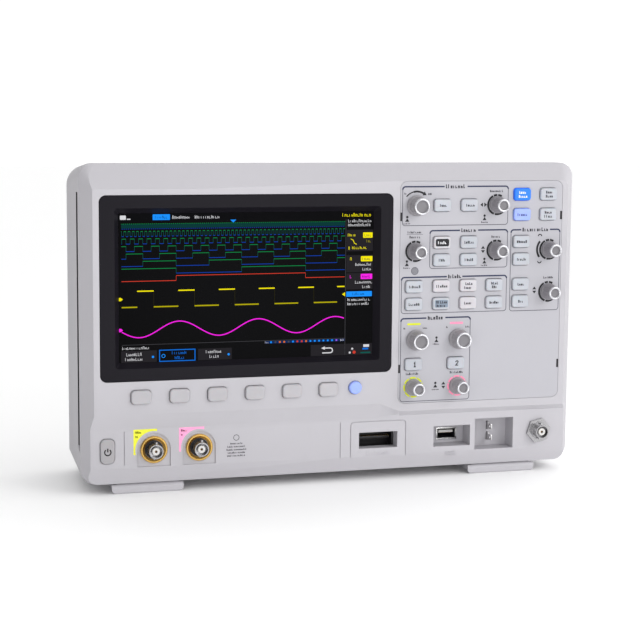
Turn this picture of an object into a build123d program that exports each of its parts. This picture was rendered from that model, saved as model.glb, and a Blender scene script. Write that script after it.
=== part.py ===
"""Bench digital oscilloscope: two input channels, logic probe socket and signal generator output.

Frame: +X right, +Y away from the user, +Z up. The origin is on the table under the middle of the
instrument. The control panel faces -Y. All sizes are in millimetres.
"""

import os
from math import cos, radians, sin, sqrt

from build123d import *

# ---- Driving dimensions ---------------------------------------------------------------------
width, height, depth = 352.0, 221.0, 111.0
foot_height = 7.0  # clear space under the case
knob_reach = 13.0  # how far the knobs stand in front of the panel
bumper_reach = 3.0  # how far the rear bumpers stand behind the back wall
wall = 2.5  # moulded wall of the casing
case_corner = 10.0  # corner radius of the casing, seen from the front
fit = 0.2  # gap round a fixed piece in its seat
key_gap = 0.35  # gap round a key in its window
turn_gap = 0.05  # radial clearance of a turning pin in its hole
key_travel = 1.0

# ---- Planes parallel to the front, by their Y -----------------------------------------------
front_y = -depth / 2 + knob_reach  # face of the control panel
border_y = front_y + 10.0  # where the tapering border meets the straight sides
seam_y = front_y + 19.0  # joint of front bezel and rear cover
sill_y = front_y + 3.0  # the connector area lies this much deeper
panel_back_y = front_y + 3.5  # rear side of the wall behind keys and screen
sill_back_y = sill_y + 3.0
back_y = depth / 2 - bumper_reach
inside_back_y = back_y - wall
overlay_back_y = front_y + 1.6
recess_floor_y = front_y + 17.0  # bottom of the two deep front sockets
key_flange_y = panel_back_y + 0.2
key_flange_back_y = key_flange_y + 1.0
membrane_y = key_flange_back_y + key_travel + 0.2
membrane_back_y = membrane_y + 1.5
board_y = membrane_back_y + 1.0
board_back_y = board_y + 1.6
rear_pocket_y = back_y - 8.0  # floor of the rear socket pocket

# ---- Casing ---------------------------------------------------------------------------------
body_height = height - foot_height
body_middle_z = foot_height + body_height / 2
face_width = 337.0
face_z = (8.0, 209.0)  # flat face of the bezel, bottom and top
face_corner = 5.0
sill_top_z = 45.5  # below this the connector area is flat
sill_bottom_z = 18.0
rear_width, rear_z = 343.0, (11.0, 217.0)
rear_low_corner, rear_high_corner = 4.5, 14.0

# ---- Screen ---------------------------------------------------------------------------------
frame_x, frame_z = (-164.2, 38.2), (77.3, 200.5)
screen_x, screen_z = (-150.8, 25.8), (89.0, 188.4)
bevel_x, bevel_z = (-154.2, 29.6), (85.8, 192.0)
glass_y = front_y + 5.2
frame_corner = 4.5
frame_lip = 1.4

# ---- Control overlay ------------------------------------------------------------------------
overlay_x, overlay_z = (43.5, 164.3), (54.5, 208.7)
overlay_corner = 5.0
notch_z = (184.4, 78.8)
notch_size = (1.5, 6.0)

# ---- Keys: centre on the panel --------------------------------------------------------------
column = (53.8, 73.8, 93.8, 113.4, 133.3, 153.1)
panel_key_size, panel_key_corner = (12.4, 8.4), 1.8
panel_keys = {
    "key_roll": (column[1], 192.1),
    "key_zoom": (column[2], 192.1),
    "key_auto_setup": (column[4], 199.3),
    "key_run_stop": (column[5], 199.3),
    "key_default": (column[4], 185.2),
    "key_clear": (column[5], 185.2),
    "key_trigger_setup": (column[1], 166.4),
    "key_trigger_normal": (column[2], 166.4),
    "key_trigger_auto": (column[1], 154.2),
    "key_trigger_single": (column[2], 154.2),
    "key_decode": (column[4], 166.2),
    "key_digital": (column[4], 153.8),
    "key_math": (column[4], 136.2),
    "key_reference": (column[4], 124.1),
    "key_cursors": (column[0], 136.1),
    "key_acquire": (column[1], 136.1),
    "key_save": (column[2], 136.1),
    "key_generator": (column[3], 136.1),
    "key_measure": (column[0], 123.9),
    "key_display": (column[1], 123.9),
    "key_utility": (column[2], 123.9),
    "key_history": (column[3], 123.9),
    "key_channel_1": (54.1, 81.8),
    "key_channel_2": (85.5, 81.8),
}
panel_key_rise = 2.0
soft_key_size, soft_key_corner, soft_key_rise = (13.3, 9.3), 2.5, 2.5
soft_key_pitch, soft_key_z = 26.0, 66.7
soft_keys = {f"soft_key_{n + 1}": (-137.3 + n * soft_key_pitch, soft_key_z) for n in range(6)}
print_key_at, print_key_radius = (11.9, 67.2), 4.45
power_key_at, power_key_size, power_key_corner = (-159.4, 30.4), (9.6, 16.8), 3.4
key_lip = 0.8  # flange that holds a key behind the wall
key_stem_radius = 2.0

# ---- Knobs: centre, and which of the two sizes ----------------------------------------------
small_knob = {"base": 5.9, "tip": 4.5, "reach": knob_reach}
large_knob = {"base": 7.1, "tip": 5.6, "reach": knob_reach - 0.8}
knobs = {
    "knob_horizontal_scale": ((55.2, 191.9), large_knob),
    "knob_horizontal_position": ((114.7, 192.2), small_knob),
    "knob_adjust": ((54.7, 160.5), small_knob),
    "knob_trigger_level": ((114.8, 160.4), small_knob),
    "knob_multi_upper": ((154.8, 160.3), small_knob),
    "knob_multi_lower": ((154.8, 130.4), small_knob),
    "knob_scale_1": ((56.0, 98.8), large_knob),
    "knob_scale_2": ((87.5, 98.8), large_knob),
    "knob_position_1": ((54.6, 65.6), small_knob),
    "knob_position_2": ((87.2, 65.6), small_knob),
}
shaft_radius, shaft_hole = 3.0, 3.6
encoder_side, encoder_y = 12.0, panel_back_y + 0.7

# ---- Sockets --------------------------------------------------------------------------------
input_at = ((-128.0, 30.2), (-97.0, 30.2))  # the two measuring inputs
output_at = (151.0, 30.2)  # generator output
rear_bnc_at = ((-45.0, 30.2), (-18.0, 30.2))
bnc_radius, bnc_bore = 4.8, 4.1
input_barrel, nutted_barrel, bnc_panel, bnc_length = 9.5, 6.5, 12.2, 24.0
bnc_shoulder_radius = 6.0
bnc_tip_y = front_y - 5.5
rear_bnc_tip_y = rear_pocket_y + 9.5
bnc_hole = 6.2
ring_radius, ring_bore = 9.15, 6.4
arch_radius, arch_bottom_z, arch_depth = 11.4, 18.7, 1.0
logic_plate = ((9.8, 50.9), (14.6, 42.6))
logic_hole = ((16.3, 44.5), (23.2, 34.6))
usb_recess = ((71.4, 99.0), (21.9, 36.6))
terminal_recess = ((102.6, 131.8), (18.4, 40.6))
tub_wall = 1.4
usb_port_at, usb_port_size = (86.2, 28.4), (14.4, 7.6)
terminal_at = ((117.5, 32.9), (117.5, 25.2))

# ---- Inside ---------------------------------------------------------------------------------
main_board_z = (14.6, 16.2)
fan_at, fan_side, fan_thick = (95.0, 125.0), 80.0, 15.0
inlet_at, inlet_size = (-120.0, 86.0), (27.6, 20.0)
handle_x, handle_y, handle_z = (-75.0, 75.0), (4.0, 20.0), (211.0, 218.0)
handle_arm_x, handle_arm_width, handle_arm_bottom = 70.0, 8.0, 160.0
leg_x = ((-155.7, -106.8), (99.8, 150.6))
leg_pivot_y, leg_pivot_z, leg_knuckle, leg_pin = front_y + 11.0, 3.4, 3.35, 1.3
ear_inset, ear_thick, leg_corner = 0.9, 2.2, 3.2

# shadow gap along both sides, over the joint of the two casing halves
gap_depth, gap_front_y, gap_back_y, gap_top_z = 1.6, front_y + 14.5, front_y + 22.5, 202.0
gap_outline = [(gap_front_y, 28.0), (gap_back_y, 32.0), (gap_back_y, gap_top_z), (gap_front_y, gap_top_z)]
screw_at = ((-158.0, 40.0), (158.0, 40.0), (-158.0, 195.0), (158.0, 195.0))


def face_plane(y):
    """The plane at this Y, parallel to the front panel, seen from the front."""
    return Plane.XZ.offset(-y)


def window(x, z, corner=0.0):
    """A rectangle in the open sketch, given by its low and high limits."""
    with Locations(((x[0] + x[1]) / 2, (z[0] + z[1]) / 2)):
        if corner:
            RectangleRounded(x[1] - x[0], z[1] - z[0], corner)
        else:
            Rectangle(x[1] - x[0], z[1] - z[0])


def slab(x, z, y, corner=0.0, mode=Mode.ADD):
    """A plate parallel to the front, by its limits along x, z and y."""
    with BuildSketch(face_plane(y[1])) as limits:
        window(x, z, corner)
    extrude(limits.sketch, amount=y[1] - y[0], mode=mode)


def prism(points, x, mode=Mode.ADD):
    """A (y, z) outline drawn out from one x to another."""
    with BuildSketch(Plane.YZ.offset(x[0])) as profile:
        Polygon(*points, align=None)
    extrude(profile.sketch, amount=x[1] - x[0], mode=mode)


def disc(centre, radius, y, mode=Mode.ADD):
    """A cylinder along Y at a panel position."""
    with BuildSketch(face_plane(y[1])) as circle:
        with Locations(centre):
            Circle(radius)
    extrude(circle.sketch, amount=y[1] - y[0], mode=mode)


def turned(profile, centre, mode=Mode.ADD):
    """A solid of revolution about the Y axis through a panel position, from (radius, y) points."""
    x, z = centre
    with BuildSketch(Plane((x, 0, z), x_dir=(1, 0, 0), z_dir=(0, 0, 1))) as section:
        Polygon(*profile, align=None)
    revolve(section.sketch, axis=Axis((x, 0, z), (0, 1, 0)), mode=mode)


def grown(limits, by):
    return (limits[0] - by, limits[1] + by)


def save(part, name):
    part.label = name
    export_step(part, f"parts/{name}.step")


def all_key_windows():
    """Every key as centre, size and corner, on the panel face."""
    for centre in panel_keys.values():
        yield centre, panel_key_size, panel_key_corner
    for centre in soft_keys.values():
        yield centre, soft_key_size, soft_key_corner


os.makedirs("parts", exist_ok=True)

# ---- Front bezel ----------------------------------------------------------------------------
with BuildPart() as front_bezel:
    # straight sides by the seam, and a border that tapers to the flat face
    with BuildSketch(face_plane(seam_y)):
        with Locations((0, body_middle_z)):
            RectangleRounded(width, body_height, case_corner)
    extrude(amount=seam_y - border_y)
    with BuildSketch(face_plane(border_y)):
        with Locations((0, body_middle_z)):
            RectangleRounded(width, body_height, case_corner)
    with BuildSketch(face_plane(front_y)):
        window((-face_width / 2, face_width / 2), face_z, face_corner)
    loft(ruled=True)

    # name band: at the left its lower crease drops, and it rises again towards the controls
    band_outside = (front_y - 3.0, 216.0)
    band_top = (border_y, height)
    left_band = [(front_y, 204.5), band_top, band_outside]
    right_band = [(front_y, 208.9), band_top, band_outside]
    prism(left_band, (-width / 2 - 1, -97.0), mode=Mode.SUBTRACT)
    with BuildSketch(Plane.YZ.offset(-97.0)) as band_start:
        Polygon(*left_band, align=None)
    with BuildSketch(Plane.YZ.offset(43.0)) as band_end:
        Polygon(*right_band, align=None)
    loft([band_start.sketch.face(), band_end.sketch.face()], ruled=True, mode=Mode.SUBTRACT)

    # connector area, set back, with a sloping sill above it and a chin below
    out = front_y - 1.0
    sill = (sill_y, sill_top_z)
    area = [(out, 49.0), (front_y, 49.0), sill, (sill_y, sill_bottom_z), (front_y + 7.0, 7.0), (out, 7.0)]
    prism(area, (-width / 2 - 1, width / 2 + 1), mode=Mode.SUBTRACT)
    high_sill = [(out, 55.0), (front_y, 55.0), sill, (out, sill_top_z)]
    low_sill = [(out, 49.1), (front_y, 49.1), sill, (out, sill_top_z)]
    prism(high_sill, (-width / 2 - 1, 30.0), mode=Mode.SUBTRACT)
    with BuildSketch(Plane.YZ.offset(30.0)) as sill_start:
        Polygon(*high_sill, align=None)
    with BuildSketch(Plane.YZ.offset(45.0)) as sill_end:
        Polygon(*low_sill, align=None)
    loft([sill_start.sketch.face(), sill_end.sketch.face()], ruled=True, mode=Mode.SUBTRACT)

    # hollow behind: full depth, then the thinner wall behind keys and screen
    inner_x = (-width / 2 + wall, width / 2 - wall)
    inner_z = (foot_height + wall + 0.2, height - wall)
    with BuildSketch(face_plane(seam_y)) as rim:
        window(inner_x, inner_z, case_corner - wall)
    extrude(rim.sketch, amount=seam_y - border_y, mode=Mode.SUBTRACT)
    with BuildSketch(face_plane(border_y)) as hollow_back:
        window(inner_x, inner_z, case_corner - wall)
    with BuildSketch(face_plane(sill_back_y)) as hollow_front:
        window((-170.0, 170.0), (12.8, 211.0), case_corner - wall)
    loft([hollow_back.sketch.face(), hollow_front.sketch.face()], ruled=True, mode=Mode.SUBTRACT)
    slab((-166.2, 166.2), (58.5, 205.4), (panel_back_y, sill_back_y), mode=Mode.SUBTRACT)

    # tubs of the deep sockets and the collar of the logic socket
    for recess in (usb_recess, terminal_recess):
        tub = (grown(recess[0], tub_wall), grown(recess[1], tub_wall))
        slab(*tub, (sill_back_y - 0.5, recess_floor_y + tub_wall))
    for recess in (usb_recess, terminal_recess):
        slab(*recess, (front_y - 1.0, recess_floor_y), mode=Mode.SUBTRACT)
    slab(grown(logic_hole[0], tub_wall), grown(logic_hole[1], tub_wall), (sill_back_y - 0.5, sill_y + 9.0))
    slab(*logic_hole, (front_y, sill_y + 9.5), 0.6, mode=Mode.SUBTRACT)
    usb_hole = [grown((c - s / 2, c + s / 2), 0.15) for c, s in zip(usb_port_at, usb_port_size)]
    slab(*usb_hole, (recess_floor_y - 1, recess_floor_y + 3), mode=Mode.SUBTRACT)
    for x, z in terminal_at:
        slit_x, slit_z = (x - 0.7, x + 0.7), (z - 3.0, z + 3.0)
        slab(slit_x, slit_z, (recess_floor_y - 1, recess_floor_y + 3), mode=Mode.SUBTRACT)

    # screen opening and the shallow seat of the control overlay
    slab(grown(frame_x, fit), grown(frame_z, fit), (front_y - 1, panel_back_y + 1), frame_corner + fit,
         mode=Mode.SUBTRACT)
    slab(grown(overlay_x, fit), grown(overlay_z, fit), (front_y - 1, overlay_back_y), overlay_corner + fit,
         mode=Mode.SUBTRACT)

    # windows for keys and shafts
    with BuildSketch(face_plane(panel_back_y + 1)) as windows:
        for centre, size, rounding in all_key_windows():
            with Locations(centre):
                RectangleRounded(size[0] + 2 * key_gap, size[1] + 2 * key_gap, rounding + key_gap)
        with Locations(*[centre for centre, style in knobs.values()]):
            Circle(shaft_hole)
        with Locations(print_key_at):
            Circle(print_key_radius + key_gap)
    extrude(windows.sketch, amount=panel_back_y + 2 - front_y, mode=Mode.SUBTRACT)
    power_window = [size + 2 * key_gap for size in power_key_size]
    with BuildSketch(face_plane(sill_back_y + 1)) as power_opening:
        with Locations(power_key_at):
            RectangleRounded(*power_window, power_key_corner + key_gap)
    extrude(power_opening.sketch, amount=5.0, mode=Mode.SUBTRACT)

    # arched seats and holes of the coaxial sockets
    for x, z in input_at:
        with BuildSketch(face_plane(sill_y + arch_depth)) as arch:
            with Locations((x, z)):
                Circle(arch_radius)
            window((x - arch_radius, x + arch_radius), (arch_bottom_z, z))
        extrude(arch.sketch, amount=arch_depth + 1, mode=Mode.SUBTRACT)
    for centre in (*input_at, output_at):
        disc(centre, bnc_hole, (front_y, sill_back_y + 1), mode=Mode.SUBTRACT)

    # engraved lines of the connector area
    groove, groove_depth = 0.7, 0.6
    for x, z in ((-148.1, (20.5, 43.2)), (2.6, (17.0, 42.4))):
        slab((x - groove / 2, x + groove / 2), z, (sill_y - 1, sill_y + groove_depth), mode=Mode.SUBTRACT)
    with BuildSketch(face_plane(sill_y + groove_depth)) as plate_line:
        window(*logic_plate, 3.0)
        with Locations((sum(logic_plate[0]) / 2, sum(logic_plate[1]) / 2)):
            line_size = [high - low - 2 * groove for low, high in logic_plate]
            RectangleRounded(*line_size, 3.0 - groove, mode=Mode.SUBTRACT)
    extrude(plate_line.sketch, amount=groove_depth + 1, mode=Mode.SUBTRACT)

    # front part of the shadow gap
    for x in (-width / 2, width / 2):
        prism(gap_outline, (x - gap_depth, x + gap_depth), mode=Mode.SUBTRACT)

    # ears that carry the tilt legs, hidden behind the legs' front edge
    arm = [(leg_pivot_y, leg_pivot_z - 1.2), (leg_pivot_y + 7.4, leg_pivot_z - 1.2), (leg_pivot_y + 7.4, 9.0),
           (leg_pivot_y + 4.6, 9.0), (leg_pivot_y + 4.6, leg_pivot_z + 1.2), (leg_pivot_y, leg_pivot_z + 1.2)]
    for x_low, x_high in leg_x:
        for ear_low in (x_low + ear_inset, x_high - ear_inset - ear_thick):
            prism(arm, (ear_low, ear_low + ear_thick))
            for radius, mode in ((leg_knuckle - 0.9, Mode.ADD), (leg_pin + turn_gap, Mode.SUBTRACT)):
                with BuildSketch(Plane.YZ.offset(ear_low)) as eye:
                    with Locations((leg_pivot_y, leg_pivot_z)):
                        Circle(radius)
                extrude(eye.sketch, amount=ear_thick, mode=mode)
save(front_bezel.part, "front_bezel")

# ---- Control overlay ------------------------------------------------------------------------
with BuildPart() as control_overlay:
    slab(overlay_x, overlay_z, (front_y, overlay_back_y), overlay_corner)
    with BuildSketch(face_plane(overlay_back_y + 1)) as openings:
        for centre in panel_keys.values():
            with Locations(centre):
                sides = [size + 2 * key_gap for size in panel_key_size]
                RectangleRounded(*sides, panel_key_corner + key_gap)
        with Locations(*[centre for centre, style in knobs.values()]):
            Circle(shaft_hole)
        for x in overlay_x:
            with Locations(*[(x, z) for z in notch_z]):
                Rectangle(2 * notch_size[0], notch_size[1])
    extrude(openings.sketch, amount=4, mode=Mode.SUBTRACT)
save(control_overlay.part, "control_overlay")

# ---- Screen frame and display ---------------------------------------------------------------
with BuildPart() as screen_frame:
    slab(frame_x, frame_z, (front_y, panel_back_y + 0.2), frame_corner)
    lip_x, lip_z = grown(frame_x, frame_lip), grown(frame_z, frame_lip)
    slab(lip_x, lip_z, (panel_back_y + 0.2, front_y + 7.0), frame_corner)
    with BuildSketch(face_plane(glass_y)) as opening_back:
        window(screen_x, screen_z, 0.8)
    with BuildSketch(face_plane(front_y - 0.01)) as opening_front:
        window(bevel_x, bevel_z, 2.0)
    loft([opening_back.sketch.face(), opening_front.sketch.face()], ruled=True, mode=Mode.SUBTRACT)
    seat_x, seat_z = (-159.2, 33.2), (81.5, 195.5)
    slab(seat_x, seat_z, (glass_y, front_y + 8.0), mode=Mode.SUBTRACT)
    edge = screen_frame.faces().sort_by(Axis.Y)[0].outer_wire().edges()
    chamfer(edge, 0.4)
save(screen_frame.part, "screen_frame")

with BuildPart() as display_module:
    slab(grown(seat_x, -fit), grown(seat_z, -fit), (glass_y + 0.1, front_y + 11.5))
    slab(grown(seat_x, -12.0), grown(seat_z, -12.0), (front_y + 11.5, front_y + 13.0))
save(display_module.part, "display_module")

# ---- Keys -----------------------------------------------------------------------------------
for name, centre in {**panel_keys, **soft_keys}.items():
    is_soft = name in soft_keys
    key_size = soft_key_size if is_soft else panel_key_size
    rounding = soft_key_corner if is_soft else panel_key_corner
    rise = soft_key_rise if is_soft else panel_key_rise
    with BuildPart() as key:
        with BuildSketch(face_plane(key_flange_y)):
            with Locations(centre):
                RectangleRounded(*key_size, rounding)
        extrude(amount=key_flange_y - front_y + rise)
        fillet(key.faces().sort_by(Axis.Y)[0].edges(), 0.9)
        with BuildSketch(face_plane(key_flange_back_y)):
            with Locations(centre):
                Rectangle(key_size[0] + 2 * key_lip, key_size[1] + 2 * key_lip)
        extrude(amount=key_flange_back_y - key_flange_y)
        disc(centre, key_stem_radius, (key_flange_back_y, membrane_back_y - 0.4))
    save(key.part, name)

with BuildPart() as print_key:
    disc(print_key_at, print_key_radius, (front_y - soft_key_rise, key_flange_y))
    fillet(print_key.faces().sort_by(Axis.Y)[0].edges(), 1.2)
    disc(print_key_at, print_key_radius + key_lip, (key_flange_y, key_flange_back_y))
    disc(print_key_at, key_stem_radius, (key_flange_back_y, membrane_back_y - 0.4))
save(print_key.part, "print_key")

with BuildPart() as power_key:
    with BuildSketch(face_plane(sill_back_y + 0.2)):
        with Locations(power_key_at):
            RectangleRounded(*power_key_size, power_key_corner)
    extrude(amount=sill_back_y + 0.2 - sill_y + 1.5)
    fillet(power_key.faces().sort_by(Axis.Y)[0].edges(), 0.9)
    with BuildSketch(face_plane(sill_back_y + 1.2)):
        with Locations(power_key_at):
            Rectangle(power_key_size[0] + 2 * key_lip, power_key_size[1] + 2 * key_lip)
    extrude(amount=1.0)
    disc(power_key_at, key_stem_radius, (sill_back_y + 1.2, sill_back_y + 3.0))
save(power_key.part, "power_key")

# ---- Knobs ----------------------------------------------------------------------------------
for name, (centre, style) in knobs.items():
    base, tip = style["base"], style["tip"]
    tip_y = front_y - style["reach"]
    skirt_y = front_y - 0.5
    outline = [
        (0, board_y - 0.4), (shaft_radius, board_y - 0.4), (shaft_radius, skirt_y), (base, skirt_y),
        (base, skirt_y - 2.2), (base - 0.5, skirt_y - 2.7), (tip + 0.2, tip_y + 1.0), (tip - 0.3, tip_y),
        (tip - 1.1, tip_y), (tip - 1.7, tip_y + 0.9), (0, tip_y + 1.3),
    ]
    with BuildPart() as knob:
        turned(outline, centre)
    save(knob.part, name)

# ---- Key membrane and control board ---------------------------------------------------------
strip_x, strip_z = (-150.0, 46.0), (59.5, 74.5)
board_x, board_z = (45.0, 163.0), (58.8, 202.9)
key_stems = [*panel_keys.values(), *soft_keys.values(), print_key_at]
with BuildPart() as keypad_membrane:
    slab(board_x, board_z, (membrane_y, membrane_back_y))
    slab(strip_x, strip_z, (membrane_y, membrane_back_y))
    with BuildSketch(face_plane(membrane_back_y + 1)) as openings:
        with Locations(*key_stems):
            Circle(key_stem_radius + 0.4)
        with Locations(*[centre for centre, style in knobs.values()]):
            Rectangle(encoder_side + 1.2, encoder_side + 1.2)
    extrude(openings.sketch, amount=4, mode=Mode.SUBTRACT)
save(keypad_membrane.part, "keypad_membrane")

with BuildPart() as control_board:
    slab(board_x, board_z, (board_y, board_back_y))
    slab(strip_x, strip_z, (board_y, board_back_y))
    half = encoder_side / 2
    for (x, z), style in knobs.values():
        slab((x - half, x + half), (z - half, z + half), (encoder_y, board_y))
        disc((x, z), shaft_radius + turn_gap, (encoder_y - 1, board_y - 0.2), mode=Mode.SUBTRACT)
save(control_board.part, "control_board")


# ---- Coaxial sockets, their contact rings and nuts ------------------------------------------
def coaxial_socket(centre, tip_y, inward, barrel):
    """A panel socket with its right-angle housing; inward is +1 from the front, -1 from the rear."""
    x, z = centre
    profile = [
        (0.8, 1.2), (2.5, 1.2), (2.5, 7.0), (bnc_bore, 7.0), (bnc_bore, 0), (bnc_radius, 0),
        (bnc_radius, barrel), (bnc_shoulder_radius, barrel), (bnc_shoulder_radius, bnc_panel),
        (0, bnc_panel), (0, 5.0), (0.8, 5.0),
    ]
    turned([(r, tip_y + inward * s) for r, s in profile], centre)
    housing = sorted((tip_y + inward * bnc_panel, tip_y + inward * bnc_length))
    slab((x - 7.2, x + 7.2), (main_board_z[1], z + 7.4), housing)


def hex_nut(centre, y):
    """A 16 mm panel nut on a socket shoulder."""
    with BuildSketch(face_plane(y[1])) as flats:
        with Locations(centre):
            RegularPolygon(16.0 / 2, 6, major_radius=False, rotation=12)
            Circle(bnc_shoulder_radius + turn_gap, mode=Mode.SUBTRACT)
    extrude(flats.sketch, amount=y[1] - y[0])


with BuildPart() as bnc_connectors:
    for centre in input_at:
        coaxial_socket(centre, bnc_tip_y, 1, input_barrel)
    coaxial_socket(output_at, bnc_tip_y, 1, nutted_barrel)
    hex_nut(output_at, (sill_y - 2.0, sill_y))
    for centre in rear_bnc_at:
        coaxial_socket(centre, rear_bnc_tip_y, -1, nutted_barrel)
        hex_nut(centre, (rear_pocket_y, rear_pocket_y + 2.0))
save(bnc_connectors.part, "bnc_connectors")

ring_back_y = sill_y + arch_depth
ring_profile = [
    (ring_radius, ring_back_y), (ring_radius, ring_back_y - 1.6), (ring_radius - 0.5, ring_back_y - 2.1),
    (ring_radius - 1.2, ring_back_y - 2.1), (ring_bore + 0.4, ring_back_y - 1.1),
    (ring_bore, ring_back_y - 0.8), (ring_bore, ring_back_y),
]
with BuildPart() as sense_rings:
    for centre in input_at:
        turned(ring_profile, centre)
save(sense_rings.part, "sense_rings")

# ---- Main board with its soldered sockets ---------------------------------------------------
with BuildPart() as main_board:
    lan_at, lan_size, usb_b_at, usb_b_size = (10.0, 28.0), (16.0, 13.6), (39.0, 27.0), (12.0, 11.0)
    board_front_y, board_rear_y = front_y + 8.0, rear_pocket_y - 3.5
    slab((-158.0, 158.4), main_board_z, (board_front_y, board_rear_y))

    # host port and its riser, behind the floor of the left recess
    (ux, uz), (uw, uh) = usb_port_at, usb_port_size
    port_y = (recess_floor_y + 0.2, recess_floor_y + 14.0)
    slab((ux - uw / 2, ux + uw / 2), (uz - uh / 2, uz + uh / 2), port_y)
    slab((ux - 6.0, ux + 6.0), (main_board_z[1], uz), (recess_floor_y + 4.0, port_y[1]))
    slab((ux - 6.3, ux + 6.3), (uz - 2.6, uz + 2.6), (recess_floor_y, port_y[0] + 9.8), mode=Mode.SUBTRACT)
    slab((ux - 5.4, ux + 5.4), (uz + 0.4, uz + 2.2), (recess_floor_y + 4.8, recess_floor_y + 10.5))

    # two probe adjusting terminals, each an upright tab with an eye
    for x, z in terminal_at:
        slab((x - 0.4, x + 0.4), (z - 2.7, z + 2.7), (recess_floor_y - 4.0, recess_floor_y + 6.0))
        slab((x - 0.4, x + 0.4), (z - 2.0, z + 2.0), (recess_floor_y - 9.0, recess_floor_y - 3.5))
        with BuildSketch(Plane.YZ.offset(x - 1)) as eye:
            with Locations((recess_floor_y - 6.4, z)):
                Circle(0.9)
        extrude(eye.sketch, amount=2, mode=Mode.SUBTRACT)
    slab((114.6, 120.4), (main_board_z[1], 31.0), (recess_floor_y + 4.0, recess_floor_y + 6.0))

    # logic probe socket at the end of its collar
    lx, lz = logic_hole
    slab(grown(lx, 1.0), (main_board_z[1], lz[1] + 1.0), (sill_y + 9.3, sill_y + 20.0))
    slab(grown(lx, -1.2), grown(lz, -1.2), (sill_y + 9.2, sill_y + 17.0), mode=Mode.SUBTRACT)

    # network and device ports at the rear
    for (x, z), (w, h) in ((lan_at, lan_size), (usb_b_at, usb_b_size)):
        port_z = (main_board_z[1], z + h / 2)
        slab((x - w / 2, x + w / 2), port_z, (rear_pocket_y - 20.0, rear_pocket_y - 0.1))
    slab((lan_at[0] - 6.0, lan_at[0] + 6.0), (lan_at[1] - 4.6, lan_at[1] + 3.4),
         (rear_pocket_y - 14.0, rear_pocket_y + 1), mode=Mode.SUBTRACT)
    slab((usb_b_at[0] - 4.2, usb_b_at[0] + 4.2), (usb_b_at[1] - 3.9, usb_b_at[1] + 3.9),
         (rear_pocket_y - 10.0, rear_pocket_y + 1), mode=Mode.SUBTRACT)
    slab((usb_b_at[0] - 2.8, usb_b_at[0] + 2.8), (usb_b_at[1] - 1.6, usb_b_at[1] + 1.6),
         (rear_pocket_y - 10.5, rear_pocket_y - 4.8))

    # processor, converter and memory packages
    for x, y, half, tall in ((-112.0, -5.0, 11.5, 8.0), (-60.0, 0.0, 13.5, 11.0), (-25.0, -8.0, 7.0, 2.5)):
        slab((x - half, x + half), (main_board_z[1], main_board_z[1] + tall), (y - half, y + half))
save(main_board.part, "main_board")

# ---- Chassis, supply and fan ----------------------------------------------------------------
with BuildPart() as chassis_plate:
    sheet, shelf_z, chassis_y = 1.2, 56.0, front_y + 16.0
    slab((-160.0, 160.0), (shelf_z, 204.0), (chassis_y, chassis_y + sheet))
    slab((-160.0, 160.0), (shelf_z, shelf_z + sheet), (chassis_y, 32.0))
    for x in (-160.0, 160.0 - sheet):
        slab((x, x + sheet), (shelf_z, 190.0), (chassis_y, chassis_y + 14.0))
    for x in range(-120, 130, 40):
        slab((x - 12.0, x + 12.0), (165.0, 185.0), (chassis_y - 1, chassis_y + 2), 4.0, mode=Mode.SUBTRACT)
save(chassis_plate.part, "chassis_plate")

with BuildPart() as power_supply:
    supply_y = (0.0, 36.0)
    slab((-150.0, -35.0), (shelf_z + sheet, 132.0), supply_y)
    (ix, iz), (iw, ih) = inlet_at, inlet_size
    inlet_back_y = back_y + 1.4
    slab((ix - iw / 2, ix + iw / 2), (iz - ih / 2, iz + ih / 2), (supply_y[1], inlet_back_y))
    well_x, well_z = (ix - 12.1, ix + 12.1), (iz - 8.1, iz + 8.1)
    slab(well_x, well_z, (inlet_back_y - 15.5, inlet_back_y + 1), mode=Mode.SUBTRACT)
    for pin_x, pin_z in ((-7.0, -2.0), (7.0, -2.0), (0.0, 3.0)):
        slab((ix + pin_x - 1.0, ix + pin_x + 1.0), (iz + pin_z - 2.0, iz + pin_z + 2.0),
             (inlet_back_y - 16.0, inlet_back_y - 4.8))
save(power_supply.part, "power_supply")

fan_y = (inside_back_y - 0.2 - fan_thick, inside_back_y - 0.2)
fan_bore, hub_radius, spindle = 38.0, 16.0, 2.0
with BuildPart() as fan_frame:
    fx, fz = fan_at
    side = fan_side / 2
    slab((fx - side, fx + side), (fz - side, fz + side), fan_y, 3.0)
    disc(fan_at, fan_bore, (fan_y[0] - 1, fan_y[1] + 1), mode=Mode.SUBTRACT)
    disc(fan_at, hub_radius, (fan_y[0], fan_y[0] + 3.0))
    slab((fx - fan_bore - 0.5, fx + fan_bore + 0.5), (fz - 1.5, fz + 1.5), (fan_y[0], fan_y[0] + 2.5))
    slab((fx - 1.5, fx + 1.5), (fz - fan_bore - 0.5, fz + fan_bore + 0.5), (fan_y[0], fan_y[0] + 2.5))
    disc(fan_at, spindle + turn_gap, (fan_y[0] - 1, fan_y[0] + 4), mode=Mode.SUBTRACT)
    corner_hole = side - 4.2
    with BuildSketch(face_plane(fan_y[1] + 1)) as corner_holes:
        with Locations(fan_at):
            with GridLocations(2 * corner_hole, 2 * corner_hole, 2, 2):
                Circle(2.1)
    extrude(corner_holes.sketch, amount=fan_thick + 2, mode=Mode.SUBTRACT)
save(fan_frame.part, "fan_frame")

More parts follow.
